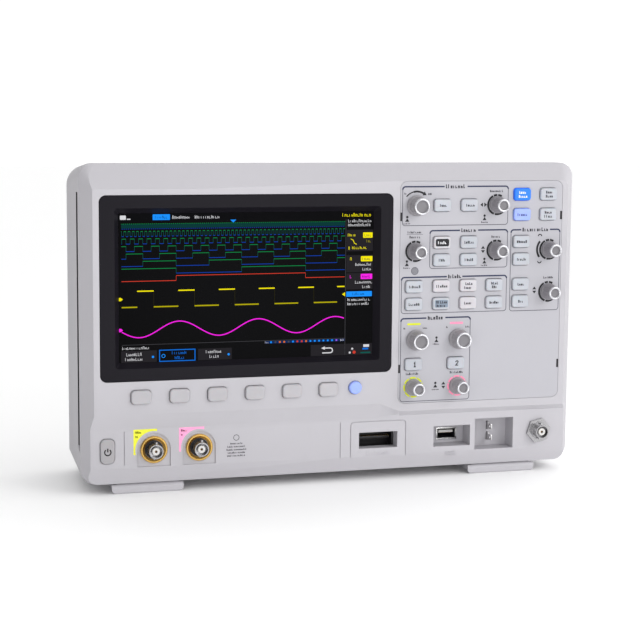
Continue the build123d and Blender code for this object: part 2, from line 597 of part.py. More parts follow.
with BuildPart() as fan_rotor:
    disc(fan_at, hub_radius, (fan_y[0] + 3.6, fan_y[1] - 1.2))
    disc(fan_at, spindle, (fan_y[0] + 0.4, fan_y[0] + 3.6))
    blade_length = fan_bore - 1.5 - hub_radius + 1.0
    blade_middle = hub_radius - 1.0 + blade_length / 2
    blade_y = (fan_y[0] + 4.0 + fan_y[1] - 1.6) / 2
    for blade in range(7):
        turn, pitch = radians(blade * 360 / 7), radians(38)
        out_x, out_z = cos(turn), sin(turn)
        middle = (fx + blade_middle * out_x, blade_y, fz + blade_middle * out_z)
        face_normal = (-out_z * cos(pitch), sin(pitch), out_x * cos(pitch))
        with BuildSketch(Plane(middle, x_dir=(out_x, 0, out_z), z_dir=face_normal)) as root:
            Rectangle(blade_length, 11.0)
        extrude(root.sketch, amount=0.8, both=True)
save(fan_rotor.part, "fan_rotor")

# ---- Rear cover -----------------------------------------------------------------------------
with BuildPart() as rear_cover:
    with BuildSketch(face_plane(back_y)) as outside_back:
        window((-rear_width / 2, rear_width / 2), rear_z)
        fillet(outside_back.vertices().group_by(Axis.Y)[0], rear_low_corner)
        fillet(outside_back.vertices().group_by(Axis.Y)[-1], rear_high_corner)
    with BuildSketch(face_plane(seam_y)) as outside_front:
        with Locations((0, body_middle_z)):
            RectangleRounded(width, body_height, case_corner)
    loft([outside_back.sketch.face(), outside_front.sketch.face()], ruled=True)
    with BuildSketch(face_plane(inside_back_y)) as inside_back:
        window(grown((-rear_width / 2, rear_width / 2), -wall), grown(rear_z, -wall))
        fillet(inside_back.vertices().group_by(Axis.Y)[0], rear_low_corner - wall)
        fillet(inside_back.vertices().group_by(Axis.Y)[-1], rear_high_corner - wall)
    with BuildSketch(face_plane(seam_y)) as inside_front:
        window(inner_x, inner_z, case_corner - wall)
    loft([inside_back.sketch.face(), inside_front.sketch.face()], ruled=True, mode=Mode.SUBTRACT)

    # rear part of the shadow gap
    for x in (-width / 2, width / 2):
        prism(gap_outline, (x - gap_depth, x + gap_depth), mode=Mode.SUBTRACT)

    # rear feet under the case
    for foot in leg_x:
        slab(foot, (0.0, 13.0), (22.0, 48.0), 2.4)

    # tub of the rear sockets
    pocket_x, pocket_z = (-60.0, 58.0), (18.4, 44.0)
    slab(grown(pocket_x, tub_wall), grown(pocket_z, tub_wall), (rear_pocket_y - wall, back_y - 1))
    slab(pocket_x, pocket_z, (rear_pocket_y, back_y + 1), mode=Mode.SUBTRACT)
    for centre in rear_bnc_at:
        disc(centre, bnc_hole, (rear_pocket_y - wall - 1, rear_pocket_y + 1), mode=Mode.SUBTRACT)
    for (x, z), (w, h) in ((lan_at, lan_size), (usb_b_at, usb_b_size)):
        half_w = w / 2 + fit
        slab((x - half_w, x + half_w), (pocket_z[0] - tub_wall - 1, z + h / 2 + fit),
             (rear_pocket_y - wall - 1, rear_pocket_y + 0.01), mode=Mode.SUBTRACT)

    # mains inlet cut-out, fan grille and vents
    slab((ix - iw / 2 - fit, ix + iw / 2 + fit), (iz - ih / 2 - fit, iz + ih / 2 + fit),
         (inside_back_y - 1, back_y + 1), mode=Mode.SUBTRACT)
    grille_radius, grille_pitch, grille_slot = 36.0, 7.5, 4.2
    with BuildSketch(face_plane(back_y + 1)) as vents:
        for row in range(-4, 5):
            reach = sqrt(grille_radius**2 - (abs(row) * grille_pitch) ** 2)
            for x in (fx - reach / 2 - 1.2, fx + reach / 2 + 1.2):
                with Locations((x, fz + row * grille_pitch)):
                    SlotOverall(reach - 2.4, grille_slot)
        with Locations((-92.0, 160.0)):
            with GridLocations(6.5, 1, 16, 1):
                SlotOverall(30.0, 3.0, rotation=90)
    extrude(vents.sketch, amount=wall + 2, mode=Mode.SUBTRACT)
    with BuildSketch(Plane.XY.offset(foot_height - 2)) as floor_vents:
        with Locations((0, 4.0)):
            with GridLocations(11.0, 1, 13, 1):
                SlotOverall(25.0, 3.2, rotation=90)
    extrude(floor_vents.sketch, amount=8, mode=Mode.SUBTRACT)

    # bumpers and pillars for the case screws
    for centre in screw_at:
        disc(centre, 5.0, (28.0, back_y - 1))
        disc(centre, 9.0, (back_y - 0.5, depth / 2))
        disc(centre, 2.1, (27.0, depth / 2 + 1), mode=Mode.SUBTRACT)
        disc(centre, 4.4, (depth / 2 - 5.0, depth / 2 + 1), mode=Mode.SUBTRACT)

    # seat of the carrying handle: guides, trough and finger scoop
    cover_top_z, trough_floor_z, scoop_floor_z = 217.0, handle_z[0] - 0.5, 196.0
    trough_x, trough_y = grown(handle_x, 1.0), grown(handle_y, 1.0)
    scoop_x, scoop_y = (-39.5, 39.5), (-5.5, 29.5)
    slab(grown(trough_x, 2.0), (trough_floor_z - 2.5, cover_top_z), grown(trough_y, 2.0))
    slab(grown(scoop_x, 2.5), (scoop_floor_z - 2.5, cover_top_z), grown(scoop_y, 2.5))
    guide_bottom_z = 190.0
    guide_size = (handle_arm_width + 5.6, handle_y[1] - handle_y[0] + 5.6)
    arm_slot = (handle_arm_width + 0.6, handle_y[1] - handle_y[0] + 0.6)
    handle_middle_y = sum(handle_y) / 2
    for x in (-handle_arm_x, handle_arm_x):
        slab((x - guide_size[0] / 2, x + guide_size[0] / 2), (guide_bottom_z, trough_floor_z - 1),
             (handle_middle_y - guide_size[1] / 2, handle_middle_y + guide_size[1] / 2))
    slab(trough_x, (trough_floor_z, height + 5), trough_y, mode=Mode.SUBTRACT)
    slab(scoop_x, (scoop_floor_z, height + 5), scoop_y, mode=Mode.SUBTRACT)
    for x in (-handle_arm_x, handle_arm_x):
        slab((x - arm_slot[0] / 2, x + arm_slot[0] / 2), (guide_bottom_z - 1, trough_floor_z + 1),
             (handle_middle_y - arm_slot[1] / 2, handle_middle_y + arm_slot[1] / 2), mode=Mode.SUBTRACT)
save(rear_cover.part, "rear_cover")

# ---- Carrying handle ------------------------------------------------------------------------
with BuildPart() as carry_handle:
    slab(handle_x, handle_z, handle_y, 2.0)
    fillet(carry_handle.faces().sort_by(Axis.Y)[0].edges().filter_by(Axis.X), 2.0)
    fillet(carry_handle.faces().sort_by(Axis.Y)[-1].edges().filter_by(Axis.X), 2.0)
    for x in (-handle_arm_x, handle_arm_x):
        arm = (x - handle_arm_width / 2, x + handle_arm_width / 2)
        slab(arm, (handle_arm_bottom, handle_z[0] + 1), handle_y)
        slab(grown(arm, 2.5), (handle_arm_bottom, handle_arm_bottom + 3.0), grown(handle_y, 2.0))
save(carry_handle.part, "carry_handle")

# ---- Tilt legs ------------------------------------------------------------------------------
leg_end_y, leg_top_z = leg_pivot_y + 34.0, 6.2
toe_y, toe_cut = leg_pivot_y - leg_knuckle, 0.8
toe = [(leg_pivot_y, 0), (toe_y + toe_cut, 0), (toe_y, toe_cut), (toe_y, leg_pivot_z),
       (leg_pivot_y, leg_pivot_z)]
ahead = [(leg_pivot_y, leg_pivot_z), (leg_pivot_y - 3.5, leg_pivot_z + 5.0), (toe_y - 2, leg_pivot_z + 5.0),
         (toe_y - 2, -2), (leg_pivot_y, -2)]
for name, (x_low, x_high) in zip(("tilt_leg_left", "tilt_leg_right"), leg_x):
    body_low, body_high = x_low + ear_inset + ear_thick + 0.2, x_high - ear_inset - ear_thick - 0.2
    with BuildPart() as tilt_leg:
        # front edge over the full length, hollow behind it where the ears are
        with BuildSketch(Plane.YZ.offset(x_low)) as edge_side:
            Polygon(*toe, align=None)
            with Locations((leg_pivot_y, leg_pivot_z)):
                Circle(leg_knuckle)
                Circle(leg_knuckle - 0.7, mode=Mode.SUBTRACT)
            Polygon(*ahead, align=None, mode=Mode.INTERSECT)
        extrude(edge_side.sketch, amount=x_high - x_low)
        with BuildSketch(Plane.YZ.offset(body_low)) as leg_side:
            with Locations((leg_pivot_y, leg_pivot_z)):
                Circle(leg_knuckle)
            Polygon(*toe, align=None)
            Polygon((leg_pivot_y, 0), (leg_end_y - 2, 0), (leg_end_y, 2), (leg_end_y, leg_top_z - 1),
                    (leg_end_y - 1, leg_top_z), (leg_pivot_y, leg_top_z), align=None)
        extrude(leg_side.sketch, amount=body_high - body_low)
        pocket_y = (leg_pivot_y + 10.0, leg_end_y - 5.0)
        slab((body_low + 6, body_high - 6), (-1, 4.2), pocket_y, mode=Mode.SUBTRACT)
        with BuildSketch(Plane.YZ.offset(x_low + 1.0)) as pin:
            with Locations((leg_pivot_y, leg_pivot_z)):
                Circle(leg_pin)
        extrude(pin.sketch, amount=x_high - x_low - 2.0)
        # rounded lower corners, seen from the front
        with BuildSketch(face_plane(leg_end_y + 1)) as outline:
            window((x_low, x_high), (0.0, 9.0))
            fillet(outline.vertices().group_by(Axis.Y)[0], leg_corner)
        extrude(outline.sketch, amount=leg_end_y + 1 - (toe_y - 1), mode=Mode.INTERSECT)
    save(tilt_leg.part, name)

# ---- Case screws ----------------------------------------------------------------------------
with BuildPart() as case_screws:
    head_y = depth / 2 - 5.0
    for centre in screw_at:
        disc(centre, 3.7, (head_y, head_y + 2.4))
        disc(centre, 2.0, (head_y - 16.0, head_y))
        with BuildSketch(face_plane(head_y + 3)) as cross:
            with Locations(centre):
                Rectangle(4.4, 0.9)
                Rectangle(0.9, 4.4)
        extrude(cross.sketch, amount=2.0, mode=Mode.SUBTRACT)
save(case_screws.part, "case_screws")
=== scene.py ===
"""Bench oscilloscope: its looks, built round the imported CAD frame.

Everything is in metres: +X right, +Y away from the user, +Z up. Sizes written in millimetres go
through mm().
"""
import math
import random

import bmesh
import bpy
from mathutils import Matrix, Vector


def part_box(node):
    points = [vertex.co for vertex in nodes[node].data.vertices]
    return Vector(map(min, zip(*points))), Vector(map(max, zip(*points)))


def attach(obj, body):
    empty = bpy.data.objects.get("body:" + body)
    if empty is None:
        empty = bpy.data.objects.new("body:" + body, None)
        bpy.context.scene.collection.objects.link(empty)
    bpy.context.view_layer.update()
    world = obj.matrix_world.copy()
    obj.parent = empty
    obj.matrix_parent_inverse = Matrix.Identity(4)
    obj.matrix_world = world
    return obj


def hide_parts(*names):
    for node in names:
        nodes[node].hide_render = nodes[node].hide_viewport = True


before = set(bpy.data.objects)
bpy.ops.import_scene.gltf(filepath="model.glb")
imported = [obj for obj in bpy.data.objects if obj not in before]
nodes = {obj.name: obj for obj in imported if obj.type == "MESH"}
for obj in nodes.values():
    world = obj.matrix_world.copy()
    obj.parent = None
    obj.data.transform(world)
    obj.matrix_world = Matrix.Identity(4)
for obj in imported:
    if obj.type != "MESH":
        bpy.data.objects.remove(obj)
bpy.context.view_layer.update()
CASE = "casing"


def mm(value):
    return value * 0.001


def span(middle, half):
    return (middle - half, middle + half)


def polar(centre, radius, angle):
    """The (x, z) point at an angle in radians round a centre."""
    return (centre[0] + radius * math.cos(angle), centre[1] + radius * math.sin(angle))


def front_of(node):
    """The y of a CAD node's front, in millimetres."""
    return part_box(node)[0].y * 1000


def link(thing):
    bpy.context.scene.collection.objects.link(thing)


front_y = front_of("control_overlay")  # face of the control panel
sill_y = front_y + 3.0  # face of the casing round the sockets
glass_y = front_of("display_module")
inlet_out = 1.4  # how far the mains inlet stands out of the rear wall
back_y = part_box("power_supply")[1].y * 1000 - inlet_out  # outer face of the rear wall
floor_y = front_y + 17.0  # floor of the socket recesses
pocket_y = back_y - 8.0  # floor of the rear pocket
socket_z = 30.2  # height of every coaxial socket
input_1_x, input_2_x = -128.0, -97.0


# ---- Materials ------------------------------------------------------------------------------
def srgb(r, g, b):
    """A linear colour from display values out of 255."""
    def linear(v):
        v /= 255
        return v / 12.92 if v <= 0.04045 else ((v + 0.055) / 1.055) ** 2.4
    return (linear(r), linear(g), linear(b), 1.0)


def shade(colour, factor):
    return (*[min(1.0, c * factor) for c in colour[:3]], 1.0)


class Graph:
    """A short way to write a node tree."""

    def __init__(self, name):
        self.material = bpy.data.materials.new(name)
        self.material.use_nodes = True
        self.tree = self.material.node_tree
        self.shader = self.tree.nodes["Principled BSDF"]
        self.coords = self.add("ShaderNodeTexCoord").outputs["Object"]

    def add(self, kind, inputs=(), **settings):
        node = self.tree.nodes.new(kind)
        for key, value in settings.items():
            setattr(node, key, value)
        for key, value in dict(inputs).items():
            self.feed(node.inputs[key], value)
        return node

    def feed(self, socket, value):
        if isinstance(value, bpy.types.NodeSocket):
            self.tree.links.new(value, socket)
        else:
            socket.default_value = value

    def noise(self, scale, detail=3.0, vector=None, rough=0.55):
        node = self.add("ShaderNodeTexNoise", {"Vector": vector or self.coords, "Scale": scale,
                                               "Detail": detail, "Roughness": rough})
        return node.outputs["Fac"]

    def stretched(self, x, y, z):
        node = self.add("ShaderNodeMapping", {"Vector": self.coords, "Scale": (x, y, z)})
        return node.outputs["Vector"]

    def ranged(self, value, low, high, to_low, to_high):
        node = self.add("ShaderNodeMapRange", {"Value": value, "From Min": low, "From Max": high,
                                               "To Min": to_low, "To Max": to_high})
        return node.outputs["Result"]

    def mixed(self, factor, a, b, blend="MIX"):
        node = self.add("ShaderNodeMix", data_type="RGBA", blend_type=blend)
        self.feed(node.inputs[0], factor)
        self.feed(node.inputs[6], a)
        self.feed(node.inputs[7], b)
        return node.outputs[2]

    def math(self, operation, a, b=0.0):
        node = self.add("ShaderNodeMath", operation=operation)
        self.feed(node.inputs[0], a)
        self.feed(node.inputs[1], b)
        return node.outputs[0]

    def bump(self, height, strength, distance):
        node = self.add("ShaderNodeBump", {"Height": height, "Strength": strength, "Distance": distance})
        self.feed(self.shader.inputs["Normal"], node.outputs["Normal"])

    def sets(self, **values):
        for key, value in values.items():
            self.feed(self.shader.inputs[key.replace("_", " ")], value)


def moulded(name, colour, rough=0.5, tint=0.03, spark=1500.0, depth=0.00006, strength=0.25, dust=0.05,
            specular=0.4):
    """Moulded plastic: eroded spark texture, faint flow marks and a little handling dirt."""
    g = Graph(name)
    flow = g.noise(9.0, 4.0)
    spots = g.noise(140.0, 5.0)
    base = g.mixed(g.ranged(flow, 0.3, 0.7, 0.0, 1.0), shade(colour, 1 - tint), shade(colour, 1 + tint))
    soiled = g.mixed(g.ranged(spots, 0.56, 0.8, 0.0, dust), base, shade(colour, 0.55))
    grain = g.noise(spark, 2.0)
    g.sets(Base_Color=soiled, Roughness=g.ranged(grain, 0.3, 0.7, rough - 0.07, rough + 0.07),
           Specular_IOR_Level=specular)
    g.bump(grain, strength, depth)
    return g.material


def metal(name, colour, rough=0.25, brushed=(1.0, 1.0, 1.0), strength=0.15, tarnish=0.12):
    """Plated or turned metal with fine tool marks and slight tarnish."""
    g = Graph(name)
    marks = g.noise(900.0, 3.0, g.stretched(*brushed))
    cloud = g.noise(60.0, 4.0)
    base = g.mixed(g.ranged(cloud, 0.4, 0.75, 0.0, tarnish * 3), colour, shade(colour, 0.55))
    g.sets(Base_Color=base, Metallic=1.0, Roughness=g.ranged(marks, 0.3, 0.7, rough - 0.06, rough + 0.1))
    g.bump(marks, strength, 0.00004)
    return g.material


def silicone(name, colour, rough=0.55, glow=0.0):
    """Soft key rubber: smooth, slightly see-through at its edges, with faint moulding haze."""
    g = Graph(name)
    haze = g.noise(55.0, 4.0)
    fine = g.noise(2400.0, 2.0)
    base = g.mixed(g.ranged(haze, 0.3, 0.7, 0.0, 1.0), shade(colour, 0.96), shade(colour, 1.05))
    g.sets(Base_Color=base, Roughness=g.ranged(fine, 0.3, 0.7, rough - 0.06, rough + 0.06),
           Specular_IOR_Level=0.35, Subsurface_Weight=0.08, Subsurface_Scale=0.0008)
    if glow:
        g.sets(Emission_Color=base, Emission_Strength=glow)
    g.bump(fine, 0.12, 0.00003)
    return g.material


def ink(name, colour, rough=0.55):
    """Screen-printed ink: a little uneven in cover, with the mesh of the screen in it."""
    g = Graph(name)
    cover = g.noise(700.0, 3.0)
    base = g.mixed(g.ranged(cover, 0.35, 0.75, 0.0, 0.35), colour, shade(colour, 1.25))
    g.sets(Base_Color=base, Roughness=g.ranged(cover, 0.3, 0.7, rough - 0.08, rough + 0.08),
           Specular_IOR_Level=0.3)
    g.bump(cover, 0.1, 0.00002)
    return g.material


def lit(name, colour, strength=1.0):
    """Lit picture elements of the display, in rows and columns 0.22 mm apart."""
    g = Graph(name)
    axes = g.add("ShaderNodeSeparateXYZ", {"Vector": g.coords})
    column = g.math("PINGPONG", axes.outputs["X"], 0.00011)
    row = g.math("PINGPONG", axes.outputs["Z"], 0.00011)
    gap = g.math("MINIMUM", column, row)
    cell = g.ranged(gap, 0.0, 0.00003, 0.55, 1.0)
    picture = g.mixed(cell, shade(colour, 0.4), colour)
    g.sets(Base_Color=shade(colour, 0.08), Emission_Color=picture, Emission_Strength=strength,
           Roughness=g.ranged(g.noise(300.0), 0.3, 0.7, 0.35, 0.5), Specular_IOR_Level=0.02)
    return g.material


mat = {
    "casing": moulded("casing_plastic", srgb(178, 176, 181), 0.52),
    "casing_rear": moulded("casing_rear_plastic", srgb(177, 175, 180), 0.55, strength=0.4),
    "overlay": moulded("overlay_film", srgb(171, 170, 176), 0.46, tint=0.015, spark=2600.0,
                       depth=0.00003, strength=0.2, dust=0.03),
    "frame": moulded("screen_frame_plastic", srgb(22, 20, 26), 0.44, tint=0.06, strength=0.2,
                     dust=0.08, specular=0.1),
    "knob": moulded("knob_plastic", srgb(134, 131, 136), 0.42, tint=0.04, strength=0.2),
    "knob_large": moulded("large_knob_plastic", srgb(152, 149, 153), 0.42, tint=0.04, strength=0.2),
    "handle": moulded("handle_plastic", srgb(177, 175, 181), 0.5, strength=0.45),
    "black": moulded("black_plastic", srgb(34, 33, 36), 0.42, tint=0.08, dust=0.15),
    # dark plastic of socket inserts, also used as painted shade in the side gaps, round the input barrels and
    # inside the serial bus host port
    "dark_plastic_and_shade": moulded("dark_insert_plastic_and_painted_shade", srgb(26, 24, 28), 0.5, tint=0.08, dust=0.1),
    "knob_dish": moulded("knob_dish_plastic", srgb(116, 114, 118), 0.4, tint=0.04, strength=0.2),
    "ptfe": moulded("white_insulator", srgb(208, 206, 203), 0.4, tint=0.02, dust=0.04),
    "membrane": silicone("membrane_silicone", srgb(170, 171, 176)),
    "key": silicone("key_silicone", srgb(176, 179, 186)),
    "key_white": silicone("key_silicone_white", srgb(192, 189, 194)),
    "key_soft": silicone("soft_key_silicone", srgb(173, 171, 175)),
    "key_blue": silicone("key_silicone_blue", srgb(36, 112, 240), glow=0.25),
    "key_periwinkle": silicone("key_silicone_periwinkle", srgb(148, 168, 238), glow=0.05),
    "key_grey": silicone("power_key_silicone", srgb(158, 156, 159)),
    "nickel": metal("nickel_plate", srgb(172, 171, 173), 0.24, (1, 6, 1)),
    "bright": metal("bright_ring", srgb(204, 204, 208), 0.26, (1, 8, 1), tarnish=0.02),
    "brass": metal("gilt_brass", srgb(208, 168, 92), 0.3, (1, 9, 1), tarnish=0.1),
    "steel": metal("zinc_steel", srgb(176, 177, 180), 0.35, (8, 1, 1)),
    "shell": metal("tinned_shell", srgb(206, 205, 205), 0.28, (1, 5, 1)),
    "gold": metal("gold_contact", srgb(228, 184, 98), 0.25),
}

ink_colours = {
    "navy": (38, 44, 72), "black": (28, 27, 31), "line": (88, 87, 96), "word": (40, 38, 46),
    "white": (236, 236, 240), "yellow": (205, 215, 30), "pink": (247, 140, 172),
    "label_yellow": (222, 224, 60), "label_pink": (246, 158, 198), "lamp": (120, 120, 126),
    "slate": (122, 134, 148), "navy_word": (44, 48, 100), "emboss": (176, 174, 180),
}
inks = {name: ink("ink_" + name, srgb(*rgb), 0.3 if name == "lamp" else 0.55)
        for name, rgb in ink_colours.items()}
inks["casing"] = mat["casing"]

glow_colours = {
    "glow_grey": (36, 34, 38), "glow_bar": (9, 9, 12), "glow_white": (214, 214, 218),
    "glow_dim": (70, 70, 74), "glow_teal": (3, 54, 52), "glow_green": (10, 132, 68),
    "glow_blue": (14, 62, 168), "glow_edge": (8, 84, 78), "glow_red": (212, 60, 44),
    "glow_yellow": (244, 230, 6), "glow_olive": (176, 166, 4), "glow_magenta": (250, 34, 232),
    "glow_azure": (24, 144, 252), "glow_outline": (8, 108, 214), "glow_deep": (10, 40, 92),
    "glow_orange": (222, 110, 24), "glow_violet": (150, 90, 232), "glow_ink": (6, 26, 62),
    "glow_straw": (150, 140, 20), "glow_faint": (58, 54, 8),
}
inks.update({name: lit(name, srgb(*rgb)) for name, rgb in glow_colours.items()})


def display_glass():
    """Anti-glare cover of the display: black, with a faint haze and smudges."""
    g = Graph("display_cover")
    smudge = g.noise(22.0, 5.0)
    base = g.mixed(g.ranged(smudge, 0.35, 0.7, 0.0, 1.0), srgb(1, 1, 2), srgb(5, 5, 7))
    g.sets(Base_Color=base, Roughness=g.ranged(smudge, 0.3, 0.75, 0.3, 0.42), Specular_IOR_Level=0.03)
    g.bump(g.noise(3000.0, 1.0), 0.05, 0.00002)
    return g.material


def circuit_board():
    """Green solder mask over copper tracks."""
    g = Graph("solder_mask")
    tracks = g.add("ShaderNodeTexVoronoi", {"Vector": g.coords, "Scale": 220.0}, distance="MANHATTAN",
                   feature="F1").outputs["Distance"]
    base = g.mixed(g.ranged(tracks, 0.25, 0.32, 0.0, 1.0), srgb(24, 92, 52), srgb(14, 66, 38))
    g.sets(Base_Color=base, Roughness=g.ranged(tracks, 0.0, 0.6, 0.3, 0.45))
    g.bump(tracks, 0.2, 0.00005)
    return g.material


mat["display"] = display_glass()
mat["board"] = circuit_board()


# ---- Mesh helpers ---------------------------------------------------------------------------
def publish(bm, name, body, materials, smooth=35.0):
    """Turns a bmesh into a piece that rides on a body."""
    bmesh.ops.recalc_face_normals(bm, faces=bm.faces)
    mesh = bpy.data.meshes.new(name)
    bm.to_mesh(mesh)
    bm.free()
    for material in materials:
        mesh.materials.append(material)
    piece = bpy.data.objects.new(name, mesh)
    link(piece)
    if smooth:
        mesh.shade_smooth()
        mesh.set_sharp_from_angle(angle=math.radians(smooth))
    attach(piece, body)
    return piece


def finish_face(face, index):
    face.material_index = index
    face.smooth = True


def add_box(bm, x, y, z, bevel=0.0, index=0, segments=2):
    """A box from its limits in millimetres, its edges rounded."""
    corners = [bm.verts.new((mm(x[i]), mm(y[j]), mm(z[k]))) for i in (0, 1) for j in (0, 1) for k in (0, 1)]
    quads = ((0, 1, 3, 2), (4, 6, 7, 5), (0, 4, 5, 1), (2, 3, 7, 6), (0, 2, 6, 4), (1, 5, 7, 3))
    faces = [bm.faces.new([corners[i] for i in quad]) for quad in quads]
    bmesh.ops.recalc_face_normals(bm, faces=faces)
    for face in faces:
        finish_face(face, index)
    if bevel:
        edges = list({edge for face in faces for edge in face.edges})
        made = bmesh.ops.bevel(bm, geom=edges, offset=mm(bevel), segments=segments, profile=0.5,
                               affect="EDGES", clamp_overlap=True)
        for face in made["faces"]:
            finish_face(face, index)
        return made["faces"]
    return faces


def add_lathe(bm, centre, profile, steps=64, ripple=None, closed=False):
    """Revolves (radius, y, material index) points about the Y axis through a panel position.

    ripple(point number, angle) scales the radius. A radius of 0 closes an end.
    """
    x, z = centre
    rings = []
    for number, (radius, y, index) in enumerate(profile):
        if radius <= 0:
            rings.append([bm.verts.new((mm(x), mm(y), mm(z)))])
            continue
        ring = []
        for step in range(steps):
            angle = 2 * math.pi * step / steps
            r = radius * (ripple(number, angle) if ripple else 1.0)
            ring.append(bm.verts.new((mm(x + r * math.cos(angle)), mm(y), mm(z + r * math.sin(angle)))))
        rings.append(ring)
    pairs = list(zip(rings, rings[1:]))
    if closed:
        pairs.append((rings[-1], rings[0]))
    for number, (a, b) in enumerate(pairs):
        index = profile[number][2]
        for step in range(steps):
            after = (step + 1) % steps
            if len(a) == 1:
                corners = (a[0], b[after], b[step])
            elif len(b) == 1:
                corners = (a[step], a[after], b[0])
            else:
                corners = (a[step], a[after], b[after], b[step])
            finish_face(bm.faces.new(corners), index)


def add_slab(bm, outline, y_front, y_back, index):
    """A flat closed plate from an (x, z) outline in millimetres."""
    fronts = [bm.verts.new((mm(x), mm(y_front), mm(z))) for x, z in outline]
    backs = [bm.verts.new((mm(x), mm(y_back), mm(z))) for x, z in outline]
    faces = [bm.faces.new(fronts), bm.faces.new(list(reversed(backs)))]
    for i in range(len(outline)):
        after = (i + 1) % len(outline)
        faces.append(bm.faces.new((fronts[i], fronts[after], backs[after], backs[i])))
    for face in faces:
        face.material_index = index


class Print:
    """Thin raised marks on one flat face, gathered into one piece with a material per ink."""

    def __init__(self, name, body, y, rise=0.04, slot="overlay", weight=0.24):
        self.name, self.body, self.slot, self.weight = name, body, slot, weight
        self.y_front, self.y_back = y - rise, y + 0.03
        self.bm, self.used = bmesh.new(), []

    def index(self, colour):
        if colour not in self.used:
            self.used.append(colour)
        return self.used.index(colour)

    def area(self, colour, outline):
        add_slab(self.bm, outline, self.y_front, self.y_back, self.index(colour))

    def block(self, colour, x0, x1, z0, z1):
        self.area(colour, [(x0, z0), (x1, z0), (x1, z1), (x0, z1)])

    def rounded(self, colour, x0, x1, z0, z1, r, steps=5):
        """A rectangle with round corners."""
        corners = ((x1 - r, z1 - r, 0), (x0 + r, z1 - r, 90), (x0 + r, z0 + r, 180), (x1 - r, z0 + r, 270))
        self.area(colour, [polar((cx, cz), r, math.radians(start + 90 * i / steps))
                           for cx, cz, start in corners for i in range(steps + 1)])

    def ribbon(self, colour, points, width, closed=False):
        """A line of even width along points, mitred at the corners."""
        count = len(points)
        left, right = [], []
        for i, (x, z) in enumerate(points):
            before = points[i - 1] if i or closed else points[i]
            after = points[(i + 1) % count] if i < count - 1 or closed else points[i]
            ways = []
            for (ax, az), (bx, bz) in ((before, (x, z)), ((x, z), after)):
                length = math.hypot(bx - ax, bz - az)
                if length > 1e-9:
                    ways.append(((bx - ax) / length, (bz - az) / length))
            if not ways:
                ways = [(1.0, 0.0)]
            nx = -sum(w[1] for w in ways)
            nz = sum(w[0] for w in ways)
            size = math.hypot(nx, nz) or 1.0
            nx, nz = nx / size, nz / size
            straight = abs(nx * -ways[0][1] + nz * ways[0][0])
            half = width / 2 / max(0.35, straight)
            left.append((x + nx * half, z + nz * half))
            right.append((x - nx * half, z - nz * half))
        sections = count if closed else count - 1
        index = self.index(colour)
        rows = []
        for a, b in zip(left, right):
            section = ((a, self.y_front), (b, self.y_front), (b, self.y_back), (a, self.y_back))
            rows.append([self.bm.verts.new((mm(p[0]), mm(y), mm(p[1]))) for p, y in section])
        for i in range(sections):
            a, b = rows[i], rows[(i + 1) % count]
            for k in range(4):
                m = (k + 1) % 4
                self.bm.faces.new((a[k], a[m], b[m], b[k])).material_index = index
        if not closed:
            self.bm.faces.new(rows[0]).material_index = index
            self.bm.faces.new(list(reversed(rows[-1]))).material_index = index

    def arc(self, colour, centre, radius, start, end, width):
        steps = max(4, int(abs(end - start) / 6))
        points = [polar(centre, radius, math.radians(start + (end - start) * i / steps))
                  for i in range(steps + 1)]
        closed = abs(end - start) >= 360
        self.ribbon(colour, points[:-1] if closed else points, width, closed)

    def disc(self, colour, centre, radius, steps=24):
        self.area(colour, [polar(centre, radius, 2 * math.pi * i / steps) for i in range(steps)])

    def words(self, colour, x, z, length, height, seed, align="centre"):
        """Wordlike marks that spell nothing: uprights and bars of varied height, centred on z."""
        rng = random.Random(seed)
        x = {"centre": x - length / 2, "left": x, "right": x - length}[align]
        low, end, stroke = z - height / 2, x + length, height * self.weight
        first = True
        while x < end - height * 0.3:
            wide = height * rng.choice((0.38, 0.5, 0.56))
            tall = height * (1.0 if first or rng.random() < 0.25 else 0.7)
            shape = rng.randrange(4)
            self.block(colour, x, x + stroke, low, low + tall)
            if shape != 3:
                level = low + (0, tall - stroke, tall * 0.42)[shape]
                self.block(colour, x + stroke, x + wide, level, level + stroke)
            if shape in (1, 2):
                self.block(colour, x + wide - stroke, x + wide, low, low + tall * 0.8)
            x += wide + height * 0.2
            first = False

    def close(self):
        publish(self.bm, self.name, self.body, [inks[name] for name in self.used], smooth=0)


def centre_of(node):
    low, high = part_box(node)
    return ((low.x + high.x) * 500, (low.z + high.z) * 500)


# ---- Finishes of the CAD nodes --------------------------------------------------------------
def finish_of(name):
    if name in ("front_bezel", "tilt_leg_left", "tilt_leg_right"):
        return "casing"
    if name == "rear_cover":
        return "casing_rear"
    if name.startswith("soft_key"):
        return "key_soft"
    if name in ("key_acquire", "key_save", "key_utility", "key_trigger_setup"):
        return "key_white"
    special = {
        "control_overlay": "overlay", "screen_frame": "frame", "display_module": "display",
        "key_auto_setup": "key_blue", "key_default": "key_periwinkle", "print_key": "key_periwinkle",
        "power_key": "key_grey", "carry_handle": "handle", "fan_frame": "black", "fan_rotor": "black",
        "keypad_membrane": "membrane", "control_board": "board", "chassis_plate": "steel",
        "power_supply": "black", "bnc_connectors": "nickel", "sense_rings": "brass", "case_screws": "steel",
    }
    return special.get(name, "key" if name.startswith("key_") else "casing")


for name, node in nodes.items():
    finish = mat[finish_of(name)]
    if not node.material_slots:
        node.data.materials.append(finish)
    for material_slot in node.material_slots:
        material_slot.material = finish


def soften(name, width):
    """Rounds a CAD node's sharp edges by a modifier, as a mould would."""
    node = nodes[name]
    weld = node.modifiers.new("weld", "WELD")
    weld.merge_threshold = mm(0.002)
    bevel = node.modifiers.new("round", "BEVEL")
    bevel.width, bevel.segments = mm(width), 2
    bevel.limit_method, bevel.angle_limit = "ANGLE", math.radians(28)
    bevel.use_clamp_overlap = True
    weighted = node.modifiers.new("flat", "WEIGHTED_NORMAL")
    weighted.keep_sharp = False
    weighted.weight = 90


